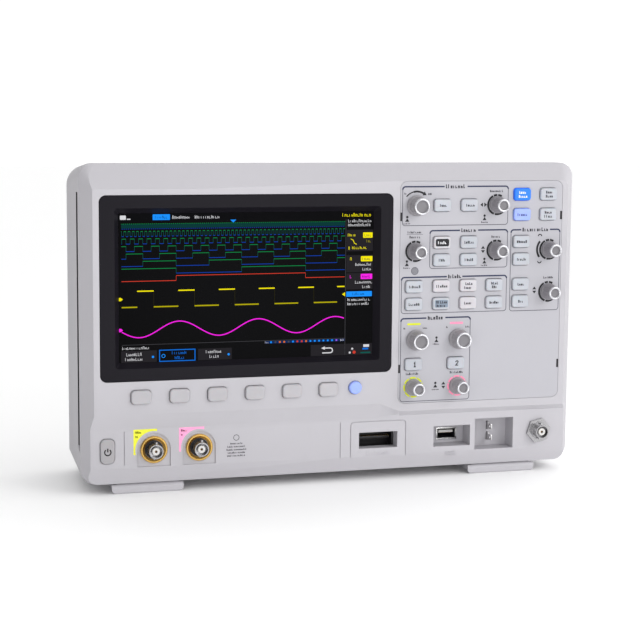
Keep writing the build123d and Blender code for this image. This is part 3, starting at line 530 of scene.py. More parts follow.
edge_widths = {"front_bezel": 0.45, "rear_cover": 0.6, "screen_frame": 0.25, "control_overlay": 0.12,
               "tilt_leg_left": 0.4, "tilt_leg_right": 0.4, "carry_handle": 0.4}
for name, width in edge_widths.items():
    soften(name, width)


# ---- Knobs ----------------------------------------------------------------------------------
def make_knob(node):
    """A tapered fluted knob with a skirt, a bright ring round its tip and a dished end."""
    x, z = centre_of(node)
    low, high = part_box(node)
    base = (high.x - low.x) * 500
    end = front_y - low.y * 1000
    tip = base - 1.45
    large = base > 6.5
    flutes = 22 if large else 18

    def at(radius, out, index=0):
        return (radius, front_y - out, index)

    profile = [
        at(0, -7.0), at(3.0, -7.0), at(3.0, 0.5), at(base - 0.3, 0.5), at(base, 0.8), at(base, 2.2),
        at(base - 0.2, 2.55), at(base - 0.55, 2.75), at(base - 0.62, 3.0), at(base - 0.66, 3.4),
        at(tip + 0.62, end * 0.5), at(tip + 0.34, end - 2.6), at(tip + 0.24, end - 1.9),
        at(tip + 0.1, end - 1.6), at(tip - 0.12, end - 1.5, 1), at(tip + 0.04, end - 1.35, 1),
        at(tip + 0.1, end - 0.9, 1), at(tip, end - 0.4, 1), at(tip - 0.3, end - 0.08, 1),
        at(tip - 0.75, end, 1), at(tip - 1.15, end - 0.12, 1), at(tip - 1.4, end - 0.5, 1),
        at(tip - 1.5, end - 1.0, 2), at(tip - 1.8, end - 1.25, 2), at(tip * 0.4, end - 1.5, 2),
        at(0, end - 1.55, 2),
    ]
    fluted = range(8, 13)

    def ripple(number, angle):
        if number not in fluted:
            return 1.0
        groove = max(0.0, math.cos(angle * flutes)) ** 2
        return 1.0 - (0.012 if number in (8, 12) else 0.045) * groove

    bm = bmesh.new()
    add_lathe(bm, (x, z), profile, flutes * 8, ripple)
    body_look = "knob_large" if large or node[-1].isdigit() else "knob"  # numbered knobs are paler
    looks = [mat[body_look], mat["bright"], mat["knob_dish"]]
    piece = publish(bm, node + "_cap", node, looks, smooth=50)
    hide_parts(node)


for name in [name for name in nodes if name.startswith("knob_")]:
    make_knob(name)


# ---- Print on the control panel -------------------------------------------------------------
panel = Print("panel_print", CASE, front_y)
corner = 2.0
thick, thin = 1.0, 0.5


def group_box(x0, x1, z0, z1, word_length, seed):
    """A group's outline: a heavy top line with its title in a gap, fine lines elsewhere."""
    middle = (x0 + x1) / 2
    gap = word_length / 2 + 1.0

    def bend(cx, cz, start, end):
        return [polar((cx, cz), corner, math.radians(a)) for a in range(start, end + 1, 15)]

    right_top = bend(x1 - corner, z1 - corner, 0, 90)
    left_top = bend(x0 + corner, z1 - corner, 90, 180)
    panel.ribbon("navy", [(middle + gap, z1), *reversed(right_top)], thick)
    panel.ribbon("navy", [*reversed(left_top), (middle - gap, z1)], thick)
    under = [(x0, z1 - corner), *bend(x0 + corner, z0 + corner, 180, 270),
             *bend(x1 - corner, z0 + corner, 270, 360), (x1, z1 - corner)]
    panel.ribbon("line", under, thin)
    panel.words("word", middle, z1 + 0.1, word_length, 2.7, seed)


for limits in ((44.9, 122.9, 178.3, 205.0, 15.0, 1), (65.3, 123.0, 148.4, 174.6, 11.5, 2),
               (125.7, 163.0, 117.2, 174.4, 20.0, 3), (44.9, 123.0, 117.5, 142.5, 9.5, 4),
               (44.9, 96.3, 55.7, 113.9, 12.0, 5)):
    group_box(*limits)

small_ring_r, scale_arc_r = 6.75, 9.8
for name in ("horizontal_position", "adjust", "trigger_level", "multi_upper", "multi_lower"):
    for start, end in ((60, 84), (90, 112), (118, 250), (256, 330)):
        panel.arc("black", centre_of("knob_" + name), small_ring_r, start, end, 1.35)
for name, colour in (("knob_position_1", "yellow"), ("knob_position_2", "pink")):
    place = centre_of(name)
    for start in range(30, 360, 45):
        panel.arc(colour, place, small_ring_r, start, start + 38, 1.15)


def pair_mark(x, z, upright):
    """Two small arrowheads, pointing apart."""
    for side in (-1, 1):
        if upright:
            tip = [(x - 1.5, z + side * 0.5), (x + 1.5, z + side * 0.5), (x, z + side * 2.5)]
        else:
            tip = [(x + side * 0.5, z - 1.5), (x + side * 0.5, z + 1.5), (x + side * 2.5, z)]
        panel.area("black", tip if side > 0 else list(reversed(tip)))


def press_mark(x, z, seed):
    """A dot over a small ramp and a word: push here."""
    panel.disc("black", (x, z + 2.0), 0.85)
    panel.area("black", [(x - 1.5, z - 1.2), (x + 1.5, z - 1.2), (x, z + 1.1)])
    panel.words("word", x, z - 2.5, 5.0, 1.1, seed)


for x, z, upright in ((104.6, 192.2, False), (104.8, 161.0, True), (77.0, 66.2, True), (144.4, 131.6, True)):
    pair_mark(x, z, upright)
for number, (x, z) in enumerate(((105.5, 182.6), (106.0, 152.4), (48.6, 151.6), (48.4, 182.2),
                                 (71.3, 98.0), (71.0, 66.0))):
    press_mark(x, z, 20 + number)

# arrows and small scale letters round the large knobs
scale_knob = centre_of("knob_horizontal_scale")
panel.arc("black", scale_knob, scale_arc_r, 104, 140, 0.8)
panel.arc("black", scale_knob, scale_arc_r, 60, 104, 1.3)
turn = math.radians(60)
cx, cz = polar(scale_knob, scale_arc_r, turn)
point = (cx + 2.6 * math.sin(turn), cz - 2.6 * math.cos(turn))
panel.area("black", [polar((cx, cz), 1.6, turn), point, polar((cx, cz), -1.6, turn)])
panel.words("word", scale_knob[0] + 9.6, scale_knob[1] + 8.0, 2.6, 1.4, 30)
panel.words("word", scale_knob[0] - 8.3, scale_knob[1] + 8.4, 1.8, 1.4, 31)
for name, colour, seed in (("knob_scale_1", "yellow", 40), ("knob_scale_2", "pink", 42)):
    x, z = centre_of(name)
    panel.rounded(colour, x - 6.4, x + 3.4, z + 10.4, z + 11.8, 0.5)
    panel.words("word", x + 6.8, z + 8.3, 3.4, 1.3, seed)
    panel.words("word", x - 8.2, z + 8.3, 1.8, 1.3, seed + 1)
x, z = centre_of("knob_multi_upper")
panel.arc("black", (x, z), 9.0, 140, 216, 1.5)
for dz, start, end in ((9.4, 0, 180), (-8.2, 180, 360)):
    panel.arc("black", (x - 7.0, z + dz), 1.3, start, end, 0.7)

# words over the small knobs
for name, length, seed in (("knob_horizontal_position", 9.5, 50), ("knob_trigger_level", 6.0, 51),
                           ("knob_position_1", 9.5, 52), ("knob_position_2", 9.5, 53)):
    x, z = centre_of(name)
    panel.words("word", x - 0.8, z + 9.5, length, 1.6, seed)
x, z = centre_of("knob_adjust")
panel.words("word", x - 0.6, z + 13.2, 10.5, 1.6, 54)
panel.block("word", x - 6.5, x + 5.5, z + 11.6, z + 11.8)
panel.words("word", x - 0.6, z + 9.9, 7.6, 1.8, 55)
x, z = centre_of("knob_multi_lower")
panel.words("word", x, z + 10.0, 7.5, 1.5, 56)

# lamp by the adjusting knob
lamp_at = (54.5, 146.9)
panel.disc("line", lamp_at, 2.75)
panel.close()
lamp = Print("adjust_lamp", CASE, front_y - 0.03, 0.06)
lamp.disc("lamp", lamp_at, 2.35)
lamp.close()

# dark catches in the notches of the overlay
bm = bmesh.new()
overlay_low, overlay_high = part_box("control_overlay")
for z in (184.4, 78.8):
    for x in (overlay_low.x * 1000 + 0.6, overlay_high.x * 1000 - 0.6):
        add_box(bm, span(x, 0.7), (front_y - 0.02, front_y + 1.5), span(z, 2.9), 0.1)
publish(bm, "overlay_catches", CASE, [mat["dark_plastic_and_shade"]])


# ---- Marks on the keys ----------------------------------------------------------------------
# each key's rows of print: length and height above its middle
key_marks = {
    "roll": [(4.6, 0)], "zoom": [(5.8, 0)], "auto_setup": [(5.6, 1.4), (6.4, -1.4)],
    "run_stop": [(4.6, 1.4), (5.0, -1.4)], "default": [(7.6, 0)], "clear": [(6.0, 1.4), (6.6, -1.4)],
    "trigger_setup": [(6.6, 0)], "trigger_normal": [(7.4, 0)], "trigger_auto": [(5.0, 0)],
    "trigger_single": [(6.6, 0)], "decode": [(7.8, 0)], "digital": [(7.0, 0)], "math": [(5.2, 0)],
    "reference": [(3.8, 0)], "cursors": [(8.0, 0)], "acquire": [(8.0, 0)],
    "save": [(4.8, 1.4), (6.6, -1.4)], "generator": [(5.4, 1.3), (4.2, -1.3)], "measure": [(8.2, 0)],
    "display": [(7.8, 1.1), (7.2, -1.3)], "utility": [(6.4, 0)], "history": [(7.4, 0)],
}
mark_inks = {"auto_setup": "white", "default": "navy_word", "trigger_setup": "white"}
mark_plates = {"trigger_setup": ("black", 4.9, 1.2), "display": ("slate", 4.8, 0.8)}
for number, (short, rows) in enumerate(key_marks.items()):
    name = "key_" + short
    x, z = centre_of(name)
    y = front_of(name)
    letters = Print(name + "_letters", name, y - 0.03, 0.04, "key_pale")
    for row, (length, drop) in enumerate(rows):
        letters.words(mark_inks.get(short, "word"), x, z + drop, length, 1.9, 100 + 7 * number + row)
    letters.close()
    if short in mark_plates:
        colour, half, round_r = mark_plates[short]
        plate = Print(name + "_mark", name, y, 0.035, "key_pale")
        plate.rounded(colour, *span(x, half), *span(z, 2.6), round_r)
        plate.close()

digits = {"key_channel_1": [[(-0.7, 1.0), (0.2, 1.9), (0.2, -1.9)], [(-0.8, -1.9), (1.1, -1.9)]],
          "key_channel_2": [[(-1.1, 0.9), (-1.0, 1.5), (-0.4, 1.95), (0.4, 1.95), (1.0, 1.5), (1.05, 0.8),
                             (0.6, 0.1), (-0.5, -0.9), (-1.1, -1.8), (1.2, -1.8)]]}
for name, strokes in digits.items():
    x, z = centre_of(name)
    figure = Print(name + "_digit", name, front_of(name), 0.04, "key_pale")
    for stroke in strokes:
        figure.ribbon("black", [(x + 0.8 * dx + 0.6, z + 0.8 * dz) for dx, dz in stroke], 0.68)
    figure.close()

x, z = centre_of("power_key")
symbol = Print("power_key_symbol", "power_key", front_of("power_key"), 0.05, "key_grey")
symbol.arc("black", (x, z - 0.3), 2.1, 128, 412, 0.85)
symbol.ribbon("black", [(x, z - 0.2), (x, z + 2.3)], 0.85)
symbol.close()


# ---- Marks on the connector area ------------------------------------------------------------
area = Print("connector_print", CASE, sill_y)


def channel_label(colour, centre, left, right, top, bottom):
    """A corner label, cut by a circle round its socket."""
    radius, steps = 12.7, 24
    start = math.acos((right - centre[0]) / radius)
    end = math.pi + math.asin((centre[1] - bottom) / radius)
    cut = [polar(centre, radius, start + (end - start) * i / steps) for i in range(steps, -1, -1)]
    area.area(colour, [(left, bottom), *cut, (right, top), (left, top)])


channel_label("label_yellow", (input_1_x, socket_z), -141.9, -125.9, 44.3, 27.1)
channel_label("label_pink", (input_2_x, socket_z), -110.9, -93.6, 44.3, 27.9)
for x, seed in ((-138.3, 60), (-107.3, 61)):
    area.words("black", x, 42.3, 4.4, 1.5, seed)
    area.words("black", x - 1.6, 39.4, 1.3, 1.3, seed + 5)
for row, length in enumerate((8.6, 12.6, 13.8, 12.0, 13.0)):
    area.words("word", -71.2, 31.6 - 2.1 * row, length, 1.25, 70 + row)
area.arc("word", (-71.3, 35.6), 1.9, 0, 360, 0.35)
area.close()

# raised marks under the sockets
emboss = Print("socket_marks", CASE, sill_y, 0.2, weight=0.16)
emboss.words("emboss", 30.4, 19.6, 17.0, 2.6, 80)
emboss.words("emboss", 84.2, 18.0, 7.0, 1.4, 81)
emboss.words("emboss", 84.6, 16.0, 8.0, 1.4, 82)
emboss.close()


# ---- Coaxial sockets: insulators, bayonet lugs and painted shade rings ----------------------
front_sockets = [((x, socket_z), front_y - 5.5, 1) for x in (input_1_x, input_2_x, 151.0)]
rear_sockets = [((x, socket_z), back_y + 1.5, -1) for x in (-45.0, -18.0)]
insulators, lugs, gap_shade_rings = bmesh.new(), bmesh.new(), bmesh.new()
for centre, tip_y, inward in front_sockets + rear_sockets:
    def at(radius, depth, index=0):
        return (radius, tip_y + inward * depth, index)

    add_lathe(insulators, centre, [at(0.95, 4.6), at(0.95, 1.1), at(1.15, 0.85), at(2.35, 0.85),
                                   at(2.62, 1.15), at(2.62, 6.9)], 40)
    add_lathe(insulators, centre, [at(0.4, 5.4, 1), at(0.4, 3.3, 1), at(0.6, 3.1, 1), at(0.85, 3.3, 1),
                                   at(0.85, 5.4, 1)], 28, closed=True)
    if centre[0] <= input_2_x:
        # painted shade: a black ring deep in the gap round each input barrel, standing in for the shade of
        # that deep gap
        add_lathe(gap_shade_rings, centre, [at(4.86, 9.1), at(6.15, 9.1), at(6.15, 9.4), at(4.86, 9.4)],
                  48, closed=True)
    else:
        add_lathe(lugs, centre, [at(4.86, 5.6), at(5.5, 5.6), at(5.75, 5.85), at(5.75, 6.45), at(4.86, 6.45)],
                  48, closed=True)
    for side in (-1, 1):
        angle = math.radians(90 * side - 8)
        out = Vector((math.cos(angle), 0, math.sin(angle)))
        base = Vector((mm(centre[0]), mm(tip_y + inward * 3.6), mm(centre[1])))
        turn = out.to_track_quat("Z", "Y").to_matrix().to_4x4()
        made = bmesh.ops.create_cone(lugs, cap_ends=True, segments=20, radius1=mm(0.95), radius2=mm(0.85),
                                     depth=mm(1.9), matrix=Matrix.Translation(base + out * mm(5.0)) @ turn)
        top = [v for v in made["verts"] if (v.co - base).dot(out) > mm(5.5)]
        edges = {e for v in top for e in v.link_edges if all(w in top for w in e.verts)}
        bmesh.ops.bevel(lugs, geom=list(edges), offset=mm(0.2), segments=2, affect="EDGES")
publish(insulators, "coax_insulators", CASE, [mat["ptfe"], mat["gold"]])
publish(lugs, "bayonet_lugs", CASE, [mat["nickel"]])
publish(gap_shade_rings, "socket_gap_painted_shade", CASE, [mat["dark_plastic_and_shade"]])


# ---- Main board, rebuilt with its sockets in their own finishes -----------------------------
def board_piece(name, boxes, material, bevel):
    bm = bmesh.new()
    for x, y, z in boxes:
        add_box(bm, x, y, z, bevel)
    piece = publish(bm, name, CASE, [mat[material]], smooth=40)
    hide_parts("main_board")


def hollow(x, y, z, wall, opening):
    """Five plates of a socket shell that is open towards -Y (opening -1) or +Y (opening 1)."""
    x0, x1, y0, y1, z0, z1 = *x, *y, *z
    back = (y1 - wall, y1) if opening < 0 else (y0, y0 + wall)
    return [((x0, x1), y, (z1 - wall, z1)), ((x0, x1), y, (z0, z0 + wall)),
            ((x0, x0 + wall), y, (z0 + wall, z1 - wall)), ((x1 - wall, x1), y, (z0 + wall, z1 - wall)),
            ((x0 + wall, x1 - wall), back, (z0 + wall, z1 - wall))]


board_low, board_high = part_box("main_board")
board_top = 16.2
board_piece("circuit_board",
            [((board_low.x * 1000, board_high.x * 1000), (front_y + 8.0, back_y - 11.5), (14.6, board_top)),
             ((80.2, 92.2), (floor_y + 4.0, floor_y + 14.0), (board_top, 24.9)),
             ((114.6, 120.4), (floor_y + 4.0, floor_y + 6.0), (board_top, 31.0))],
            "board", 0.1)

ux, uz = 86.2, 28.4  # middle of the serial bus host port
flange_y = (floor_y - 0.6, floor_y - 0.1)
board_piece("usb_host_shell",
            hollow(span(ux, 7.2), (floor_y - 0.6, floor_y + 14.0), span(uz, 3.8), 0.45, -1)
            + [(span(ux, 7.7), flange_y, (uz + 3.3, uz + 4.4)),
               (span(ux, 7.7), flange_y, (uz - 4.4, uz - 3.3)),
               ((ux - 7.7, ux - 6.7), flange_y, span(uz, 3.3)),
               ((ux + 6.7, ux + 7.7), flange_y, span(uz, 3.3))],
            "shell", 0.12)
board_piece("usb_host_tongue", [(span(ux, 5.4), (floor_y + 1.0, floor_y + 10.5), (uz + 0.4, uz + 2.2))],
            "ptfe", 0.2)
# painted shade: a dark lining inside the metal shell of the host port, standing in for the shade inside it
board_piece("usb_host_painted_shade",
            hollow(span(ux, 6.7), (floor_y + 0.3, floor_y + 12.0), span(uz, 3.3), 0.4, -1),
            "dark_plastic_and_shade", 0.1)
board_piece("usb_host_contacts",
            [(span(ux + c, 0.5), (floor_y + 1.3, floor_y + 9.0), (uz + 0.25, uz + 0.45))
             for c in (-3.4, -1.2, 1.2, 3.4)],
            "gold", 0.05)

tongue_z = (28.0, 29.8)
board_piece("logic_socket_shell",
            hollow((15.5, 45.3), (sill_y + 9.3, sill_y + 20.0), (16.4, 35.4), 2.0, -1)
            + [((17.6, 43.2), (sill_y + 17.0, sill_y + 19.0), (24.3, 33.5))],
            "dark_plastic_and_shade", 0.3)
board_piece("logic_socket_tongue", [((18.4, 42.4), (sill_y + 11.0, sill_y + 17.5), tongue_z)], "black", 0.3)
board_piece("logic_socket_contacts",
            [((19.4 + 2.0 * c, 20.0 + 2.0 * c), (sill_y + 11.4, sill_y + 17.0), span(z, 0.06))
             for c in range(12) for z in tongue_z],
            "gold", 0.02)


def upright_tab(name, x, z):
    """A tin plate standing on edge, wide at its root, with an eye near its tip."""
    half, eye_r, steps = 0.4, 0.9, 32
    neck_y, root_y, eye_y = floor_y - 3.7, floor_y + 6.0, floor_y - 6.4
    bm = bmesh.new()
    around = []
    for step in range(steps):
        angle = 2 * math.pi * step / steps
        dy, dz = math.cos(angle), math.sin(angle)
        reach = min(2.0 / abs(dz) if abs(dz) > 1e-6 else 9, 2.2 / abs(dy) if abs(dy) > 1e-6 else 9)
        around.append(((eye_y + eye_r * dy, eye_r * dz), (eye_y + reach * dy, reach * dz)))
    cap = {}
    for way in (-1, 1):
        inner = [bm.verts.new((mm(x + way * half), mm(a[0]), mm(z + a[1]))) for a, b in around]
        outer = [bm.verts.new((mm(x + way * half), mm(b[0]), mm(z + b[1]))) for a, b in around]
        cap[way] = (inner, outer)
        for step in range(steps):
            after = (step + 1) % steps
            bm.faces.new((inner[step], inner[after], outer[after], outer[step]))
    for near, far in zip(cap[-1], cap[1]):
        for step in range(steps):
            after = (step + 1) % steps
            bm.faces.new((near[step], near[after], far[after], far[step]))
    add_box(bm, span(x, half), (eye_y - 2.6, eye_y - 2.2), span(z, 1.6), 0.1)
    add_box(bm, span(x, half), (eye_y + 2.2, neck_y), span(z, 2.0), 0.1)
    add_box(bm, span(x, half), (neck_y, root_y), span(z, 2.7), 0.12)
    tab = publish(bm, name, CASE, [mat["shell"]])
    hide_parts("main_board")


for number, z in enumerate((32.9, 25.2)):
    upright_tab(f"probe_terminal_{number + 1}", 117.5, z)
shell_y = (pocket_y - 20.0, pocket_y - 0.1)
board_piece("network_shell",
            hollow((2.0, 18.0), shell_y, (16.2, 34.8), 2.0, 1)
            + [((4.0, 16.0), shell_y, (18.2, 23.4)), ((4.0, 16.0), shell_y, (31.4, 32.8))],
            "shell", 0.15)
board_piece("network_lining",
            hollow((4.0, 16.0), (pocket_y - 14.0, pocket_y - 0.4), (23.4, 31.4), 0.35, 1),
            "dark_plastic_and_shade", 0.05)
board_piece("network_contacts",
            [(span(6.4 + 1.02 * c, 0.2), (pocket_y - 12.0, pocket_y - 3.0), (30.4, 30.8)) for c in range(8)],
            "gold", 0.04)
board_piece("usb_device_shell",
            hollow((33.0, 45.0), shell_y, (16.2, 32.5), 0.6, 1)
            + [((33.6, 44.4), (pocket_y - 20.0, pocket_y - 0.3), (16.8, 23.1))],
            "shell", 0.12)
board_piece("usb_device_tongue",
            [((36.2, 41.8), (pocket_y - 10.5, pocket_y - 4.8), (25.4, 28.6))]
            + hollow((34.8, 43.2), (pocket_y - 10.0, pocket_y - 0.5), (23.1, 30.9), 0.3, 1),
            "dark_plastic_and_shade", 0.1)
chips = ((-112.0, -5.0, 11.5, 8.0), (-60.0, 0.0, 13.5, 11.0), (-25.0, -8.0, 7.0, 2.5))
board_piece("board_chips",
            [(span(x, half), span(y, half), (board_top, board_top + tall)) for x, y, half, tall in chips],
            "black", 0.4)

# painted shade: dark strips lining the shadow gaps along both sides, standing in for the shade in the gaps
gap_front, gap_back, gap_low, gap_high = front_y + 14.5, front_y + 22.5, 28.0, 202.0
bm = bmesh.new()
for side in (-1, 1):
    def gap_face(x_out, x_in, front_cut, back_cut):
        rows = []
        for x in (x_out, x_in):
            y0, y1, top_z = gap_front + front_cut, gap_back - back_cut, gap_high - 0.05
            outline = ((y0, gap_low + front_cut / 2 + 0.15), (y1, gap_low + 3.9), (y1, top_z), (y0, top_z))
            rows.append([bm.verts.new((mm(side * x), mm(y), mm(z))) for y, z in outline])
        bm.faces.new(rows[0])
        bm.faces.new(list(reversed(rows[1])))
        for k in range(4):
            bm.faces.new((rows[0][k], rows[0][(k + 1) % 4], rows[1][(k + 1) % 4], rows[1][k]))

    # painted shade: the strips darken the gap floor and its far wall
    gap_face(175.1, 174.42, 0.05, 0.45)
    gap_face(175.7, 174.42, 7.6, 0.04)
publish(bm, "side_gap_painted_shade", CASE, [mat["dark_plastic_and_shade"]], smooth=0)

# mains pins, as sleeves over the CAD ones
bm = bmesh.new()
for dx, dz in ((-7.0, -2.0), (7.0, -2.0), (0.0, 3.0)):
    pin_y = (back_y + inlet_out - 15.4, back_y + inlet_out - 4.6)
    add_box(bm, span(-120.0 + dx, 1.06), pin_y, span(86.0 + dz, 2.06), 0.35)
publish(bm, "mains_pins", CASE, [mat["shell"]])


# ---- Screen picture -------------------------------------------------------------------------
screen = Print("screen_picture", CASE, glass_y, 0.05, "display", weight=0.13)
panels = Print("screen_panels", CASE, glass_y, 0.02, "display")
left, right = -148.8, 5.4  # sides of the graph
column = (6.6, 25.6)
panels.block("glow_bar", -150.7, 25.7, 183.4, 188.3)
for low, high in ((160.9, 175.6), (146.4, 158.2), (134.6, 145.8)):
    panels.block("glow_grey", *column, low, high)
panels.block("glow_dim", 5.9, 6.2, 89.2, 183.0)
panels.block("glow_dim", left, 5.9, 100.9, 101.15)
for x0, x1 in ((-149.4, -125.4), (-97.3, -74.0), (-18.4, 25.7)):
    panels.block("glow_grey", x0, x1, 89.2, 97.0)
panels.block("glow_deep", -50.6, 5.8, 99.0, 100.6)

# top line
screen.rounded("glow_azure", -127.8, -116.2, 183.8, 187.6, 0.4)
screen.rounded("glow_white", -149.6, -145.6, 184.2, 187.0, 0.5)
screen.block("glow_white", -145.0, -142.6, 184.2, 184.9)
screen.words("glow_white", -109.0, 185.6, 11.2, 2.1, 200)
screen.words("glow_white", -91.2, 185.6, 16.4, 2.1, 201)
screen.area("glow_azure", [(-75.2, 183.5), (-71.0, 183.5), (-73.1, 181.6)])
screen.words("glow_yellow", 13.4, 185.8, 20.0, 2.3, 202)

# eight logic traces: a counter, its fastest digit on top
edge_x, half_slowest = -112.1, 89.6
line = 0.42


def logic_trace(digit):
    """One digit of a running count, drawn as highs, lows and the edges between them."""
    half = half_slowest / 2 ** (7 - digit)
    high_z = 181.4 - 4.95 * digit
    low_z = high_z - 3.3
    high_ink, low_ink = ("glow_red", "glow_red") if digit == 7 else ("glow_green", "glow_blue")
    step = math.floor((left - edge_x) / half)
    while edge_x + step * half < right:
        start, end = edge_x + step * half, edge_x + (step + 1) * half
        is_high = (step + (1 if digit == 7 else 0)) % 2 == 1
        level = high_z if is_high else low_z
        screen.block(high_ink if is_high else low_ink, max(start, left), min(end, right),
                     *span(level, line / 2))
        if start > left and digit:
            screen.block("glow_red" if digit == 7 else "glow_edge", *span(start, 0.12),
                         low_z + line / 2, high_z - line / 2)
        step += 1
    if digit == 0:
        panels.block("glow_teal", left, right, low_z + 0.4, high_z - 0.2)


for digit in range(8):
    logic_trace(digit)

# square wave and sine wave
period, share, rise_x = 27.7, 0.4, -110.7
wave_high, wave_low = 136.8, 126.2
cycle = -2
while rise_x + cycle * period < right:
    start = rise_x + cycle * period
    fall, end = start + share * period, start + period
    if fall > left:
        screen.block("glow_yellow", max(start, left), min(fall, right), wave_high - 0.4, wave_high + 0.4)
    if fall < right:
        screen.block("glow_olive", max(fall, left), min(end, right), wave_low - 0.42, wave_low + 0.42)
        if fall > left:
            screen.block("glow_faint", fall - 0.07, fall + 0.07, wave_low + 0.42, wave_high - 0.45)
    cycle += 1
wave = []
samples = 220
for i in range(samples + 1):
    x = left + (right - 0.2 - left) * i / samples
    wave.append((x, 111.0 + 5.2 * math.cos(2 * math.pi * (x + 110.0) / 54.4)))
screen.ribbon("glow_magenta", wave, 0.72)
for z, colour in ((131.6, "glow_yellow"), (111.0, "glow_magenta")):
    screen.area(colour, [(-150.6, z - 1.1), (-149.3, z - 1.1), (-148.0, z), (-149.3, z + 1.1),
                         (-150.6, z + 1.1)])
screen.area("glow_yellow", [(3.6, 131.4), (5.8, 130.0), (5.8, 132.8)])

# logic state strip
dots = ("azure", "dim", "orange", "orange", "dim", "azure", "red", "red", "orange", *["azure"] * 6, "violet")
for number, colour in enumerate(dots):
    x = -46.6 + 3.1 * number
    screen.block("glow_" + colour, x - 0.6, x + 0.6, 99.25, 100.4)
for x in (-49.6, 4.0):
    screen.words("glow_white", x, 99.8, 2.4, 1.3, int(x) + 300)

# information column
for z, length, seed in ((181.7, 16.6, 210), (178.9, 16.4, 211), (127.6, 16.4, 214), (124.7, 15.8, 215)):
    screen.words("glow_white", 7.6, z, length, 1.9, seed, "left")
screen.words("glow_yellow", 7.4, 172.0, 6.0, 1.8, 220, "left")
screen.rounded("glow_yellow", 18.4, 25.2, 170.0, 173.7, 0.4)
screen.ribbon("glow_yellow", [(9.6, 169.4), (11.2, 168.6), (12.2, 166.4), (13.8, 165.6)], 0.45)
screen.words("glow_straw", 22.8, 167.8, 3.8, 1.9, 221)
screen.words("glow_yellow", 8.0, 163.0, 1.3, 2.0, 222, "left")
screen.words("glow_yellow", 10.6, 163.3, 10.0, 1.9, 223, "left")
for z, colour, seed in ((155.6, "glow_yellow", 230), (143.4, "glow_magenta", 240)):
    screen.rounded(colour, 17.0, 25.3, z - 1.8, z + 1.8, 0.4)
    screen.words(colour, 9.8, z, 1.2, 2.0, seed)
    screen.words("glow_white", 25.0, z - 3.9, 12.0, 1.9, seed + 1, "right")
    screen.words("glow_white", 25.0, z - 7.1, 6.8, 1.9, seed + 2, "right")
screen.rounded("glow_azure", 6.7, 25.2, 129.6, 133.2, 0.3)
badge = Print("screen_badge_words", CASE, glass_y, 0.07, "display", weight=0.13)
for x, z, length, height, seed in ((15.6, 131.4, 9.0, 1.7, 250), (-122.0, 185.7, 8.4, 1.8, 251),
                                   (21.9, 171.8, 5.0, 1.8, 252), (21.2, 155.6, 6.4, 1.8, 253),
                                   (21.2, 143.4, 6.4, 1.8, 254)):
    badge.words("glow_ink", x, z, length, height, seed)
badge.close()

# menu line
screen.words("glow_white", -148.6, 98.9, 19.0, 1.8, 260, "left")
menu_words = ((-140.6, 94.6, 10.4, "white"), (-140.6, 91.4, 12.0, "white"), (-109.8, 94.9, 10.6, "outline"),
              (-109.4, 91.5, 7.6, "outline"), (-86.6, 94.8, 10.6, "white"), (-86.4, 91.6, 6.0, "white"))
for number, (x, z, length, colour) in enumerate(menu_words):
    screen.words("glow_" + colour, x, z, length, 2.0, 261 + number)
menu_box = [(-123.5, 89.4), (-99.4, 89.4), (-99.4, 96.9), (-123.5, 96.9)]
screen.ribbon("glow_outline", menu_box, 0.6, closed=True)
screen.arc("glow_azure", (-120.9, 93.0), 1.1, 0, 360, 0.4)
for x in (-128.0, -76.2):
    screen.disc("glow_azure", (x, 92.6), 0.8, 14)
screen.ribbon("glow_white", [(-10.2, 91.2), (-4.2, 91.2), (-3.2, 91.7), (-2.8, 92.8), (-3.2, 94.0),
                             (-4.2, 94.5), (-8.6, 94.5)], 0.75)
screen.area("glow_white", [(-11.0, 94.5), (-8.4, 93.3), (-8.4, 95.7)])
for x, z in ((9.6, 90.8), (11.4, 93.4)):
    screen.disc("glow_white", (x, z), 0.75, 14)
screen.ribbon("glow_dim", [(9.6, 90.8), (11.4, 93.4), (13.2, 90.8)], 0.35)
screen.disc("glow_red", (12.8, 91.0), 1.1, 16)
screen.block("glow_white", 19.4, 23.6, 94.4, 96.2)
screen.block("glow_outline", 18.8, 23.0, 92.6, 93.8)
screen.block("glow_edge", 17.4, 24.6, 90.0, 91.0)
screen.close()
panels.close()


# ---- Stage, light and camera ----------------------------------------------------------------
def stage_material():
    g = Graph("stage_floor")
    cloud = g.noise(3.0, 3.0)
    g.sets(Base_Color=g.mixed(cloud, (0.975, 0.975, 0.975, 1), (0.985, 0.985, 0.985, 1)), Roughness=0.7,
           Specular_IOR_Level=0.15)
    return g.material


bm = bmesh.new()
bmesh.ops.create_grid(bm, x_segments=1, y_segments=1, size=6.0)
floor_mesh = bpy.data.meshes.new("floor")
bm.to_mesh(floor_mesh)
bm.free()
floor_mesh.materials.append(stage_material())
floor = bpy.data.objects.new("floor", floor_mesh)
link(floor)

world = bpy.data.worlds.new("studio")
bpy.context.scene.world = world
world.use_nodes = True
sky = world.node_tree
background = sky.nodes["Background"]
background.inputs["Color"].default_value = (1.0, 1.0, 1.0, 1.0)
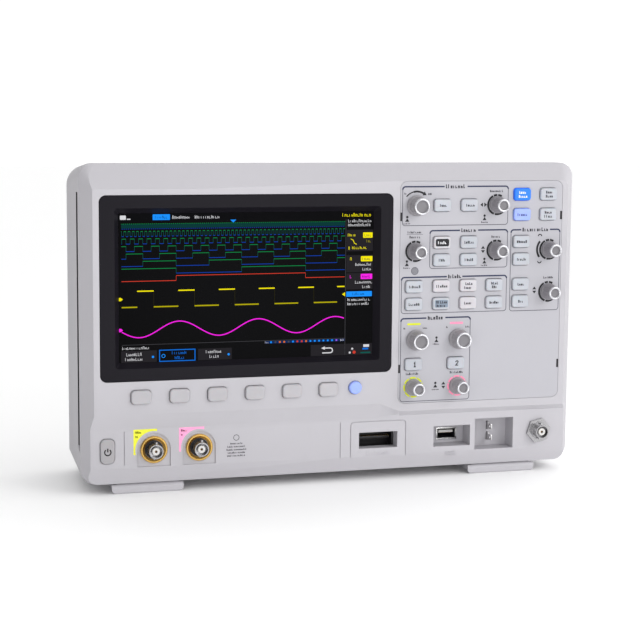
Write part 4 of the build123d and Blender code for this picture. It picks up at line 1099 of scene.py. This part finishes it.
# the room is bright behind and to the right, dimmer to the left
lean = sky.nodes.new("ShaderNodeVectorMath")
lean.operation = "DOT_PRODUCT"
lean.inputs[1].default_value = (0.62, 0.22, 0.34)
level = sky.nodes.new("ShaderNodeMath")
level.inputs[1].default_value = 0.78
sky.links.new(sky.nodes.new("ShaderNodeTexCoord").outputs["Generated"], lean.inputs[0])
sky.links.new(lean.outputs["Value"], level.inputs[0])
sky.links.new(level.outputs["Value"], background.inputs["Strength"])


def area_light(name, place, target, size, power, colour=(1, 1, 1)):
    data = bpy.data.lights.new(name, "AREA")
    data.shape, data.size, data.energy, data.color = "DISK", size, power, colour
    light = bpy.data.objects.new(name, data)
    link(light)
    light.location = place
    light.rotation_euler = (Vector(target) - Vector(place)).to_track_quat("-Z", "Y").to_euler()


area_light("key_light", (0.52, -0.75, 0.5), (0.05, 0, 0.1), 0.5, 2.6)
area_light("left_fill", (-0.62, -0.9, 0.25), (-0.1, 0, 0.1), 0.6, 1.9)
area_light("low_fill", (0.08, -0.62, 0.03), (0.05, 0, 0.03), 0.3, 0.85)

yaw, pitch, roll = (math.radians(v) for v in (16.74, 7.22, -0.464))
forward = Vector((math.sin(yaw) * math.cos(pitch), math.cos(yaw) * math.cos(pitch), -math.sin(pitch)))
side = Vector((math.cos(yaw), -math.sin(yaw), 0))
down = forward.cross(side)
right_way = math.cos(roll) * side + math.sin(roll) * down
down_way = -math.sin(roll) * side + math.cos(roll) * down
camera_data = bpy.data.cameras.new("camera")
camera_data.lens, camera_data.sensor_width = 94.56, 36.0  # both in millimetres
camera_data.clip_start, camera_data.clip_end = 0.05, 50.0
camera = bpy.data.objects.new("camera", camera_data)
link(camera)
camera.matrix_world = Matrix.Translation((-0.3408, mm(front_y) - 1.0880, 0.2587)) @ Matrix((
    (right_way.x, -down_way.x, -forward.x), (right_way.y, -down_way.y, -forward.y),
    (right_way.z, -down_way.z, -forward.z))).to_4x4()
bpy.context.scene.camera = camera
bpy.context.scene.view_settings.view_transform = "Standard"
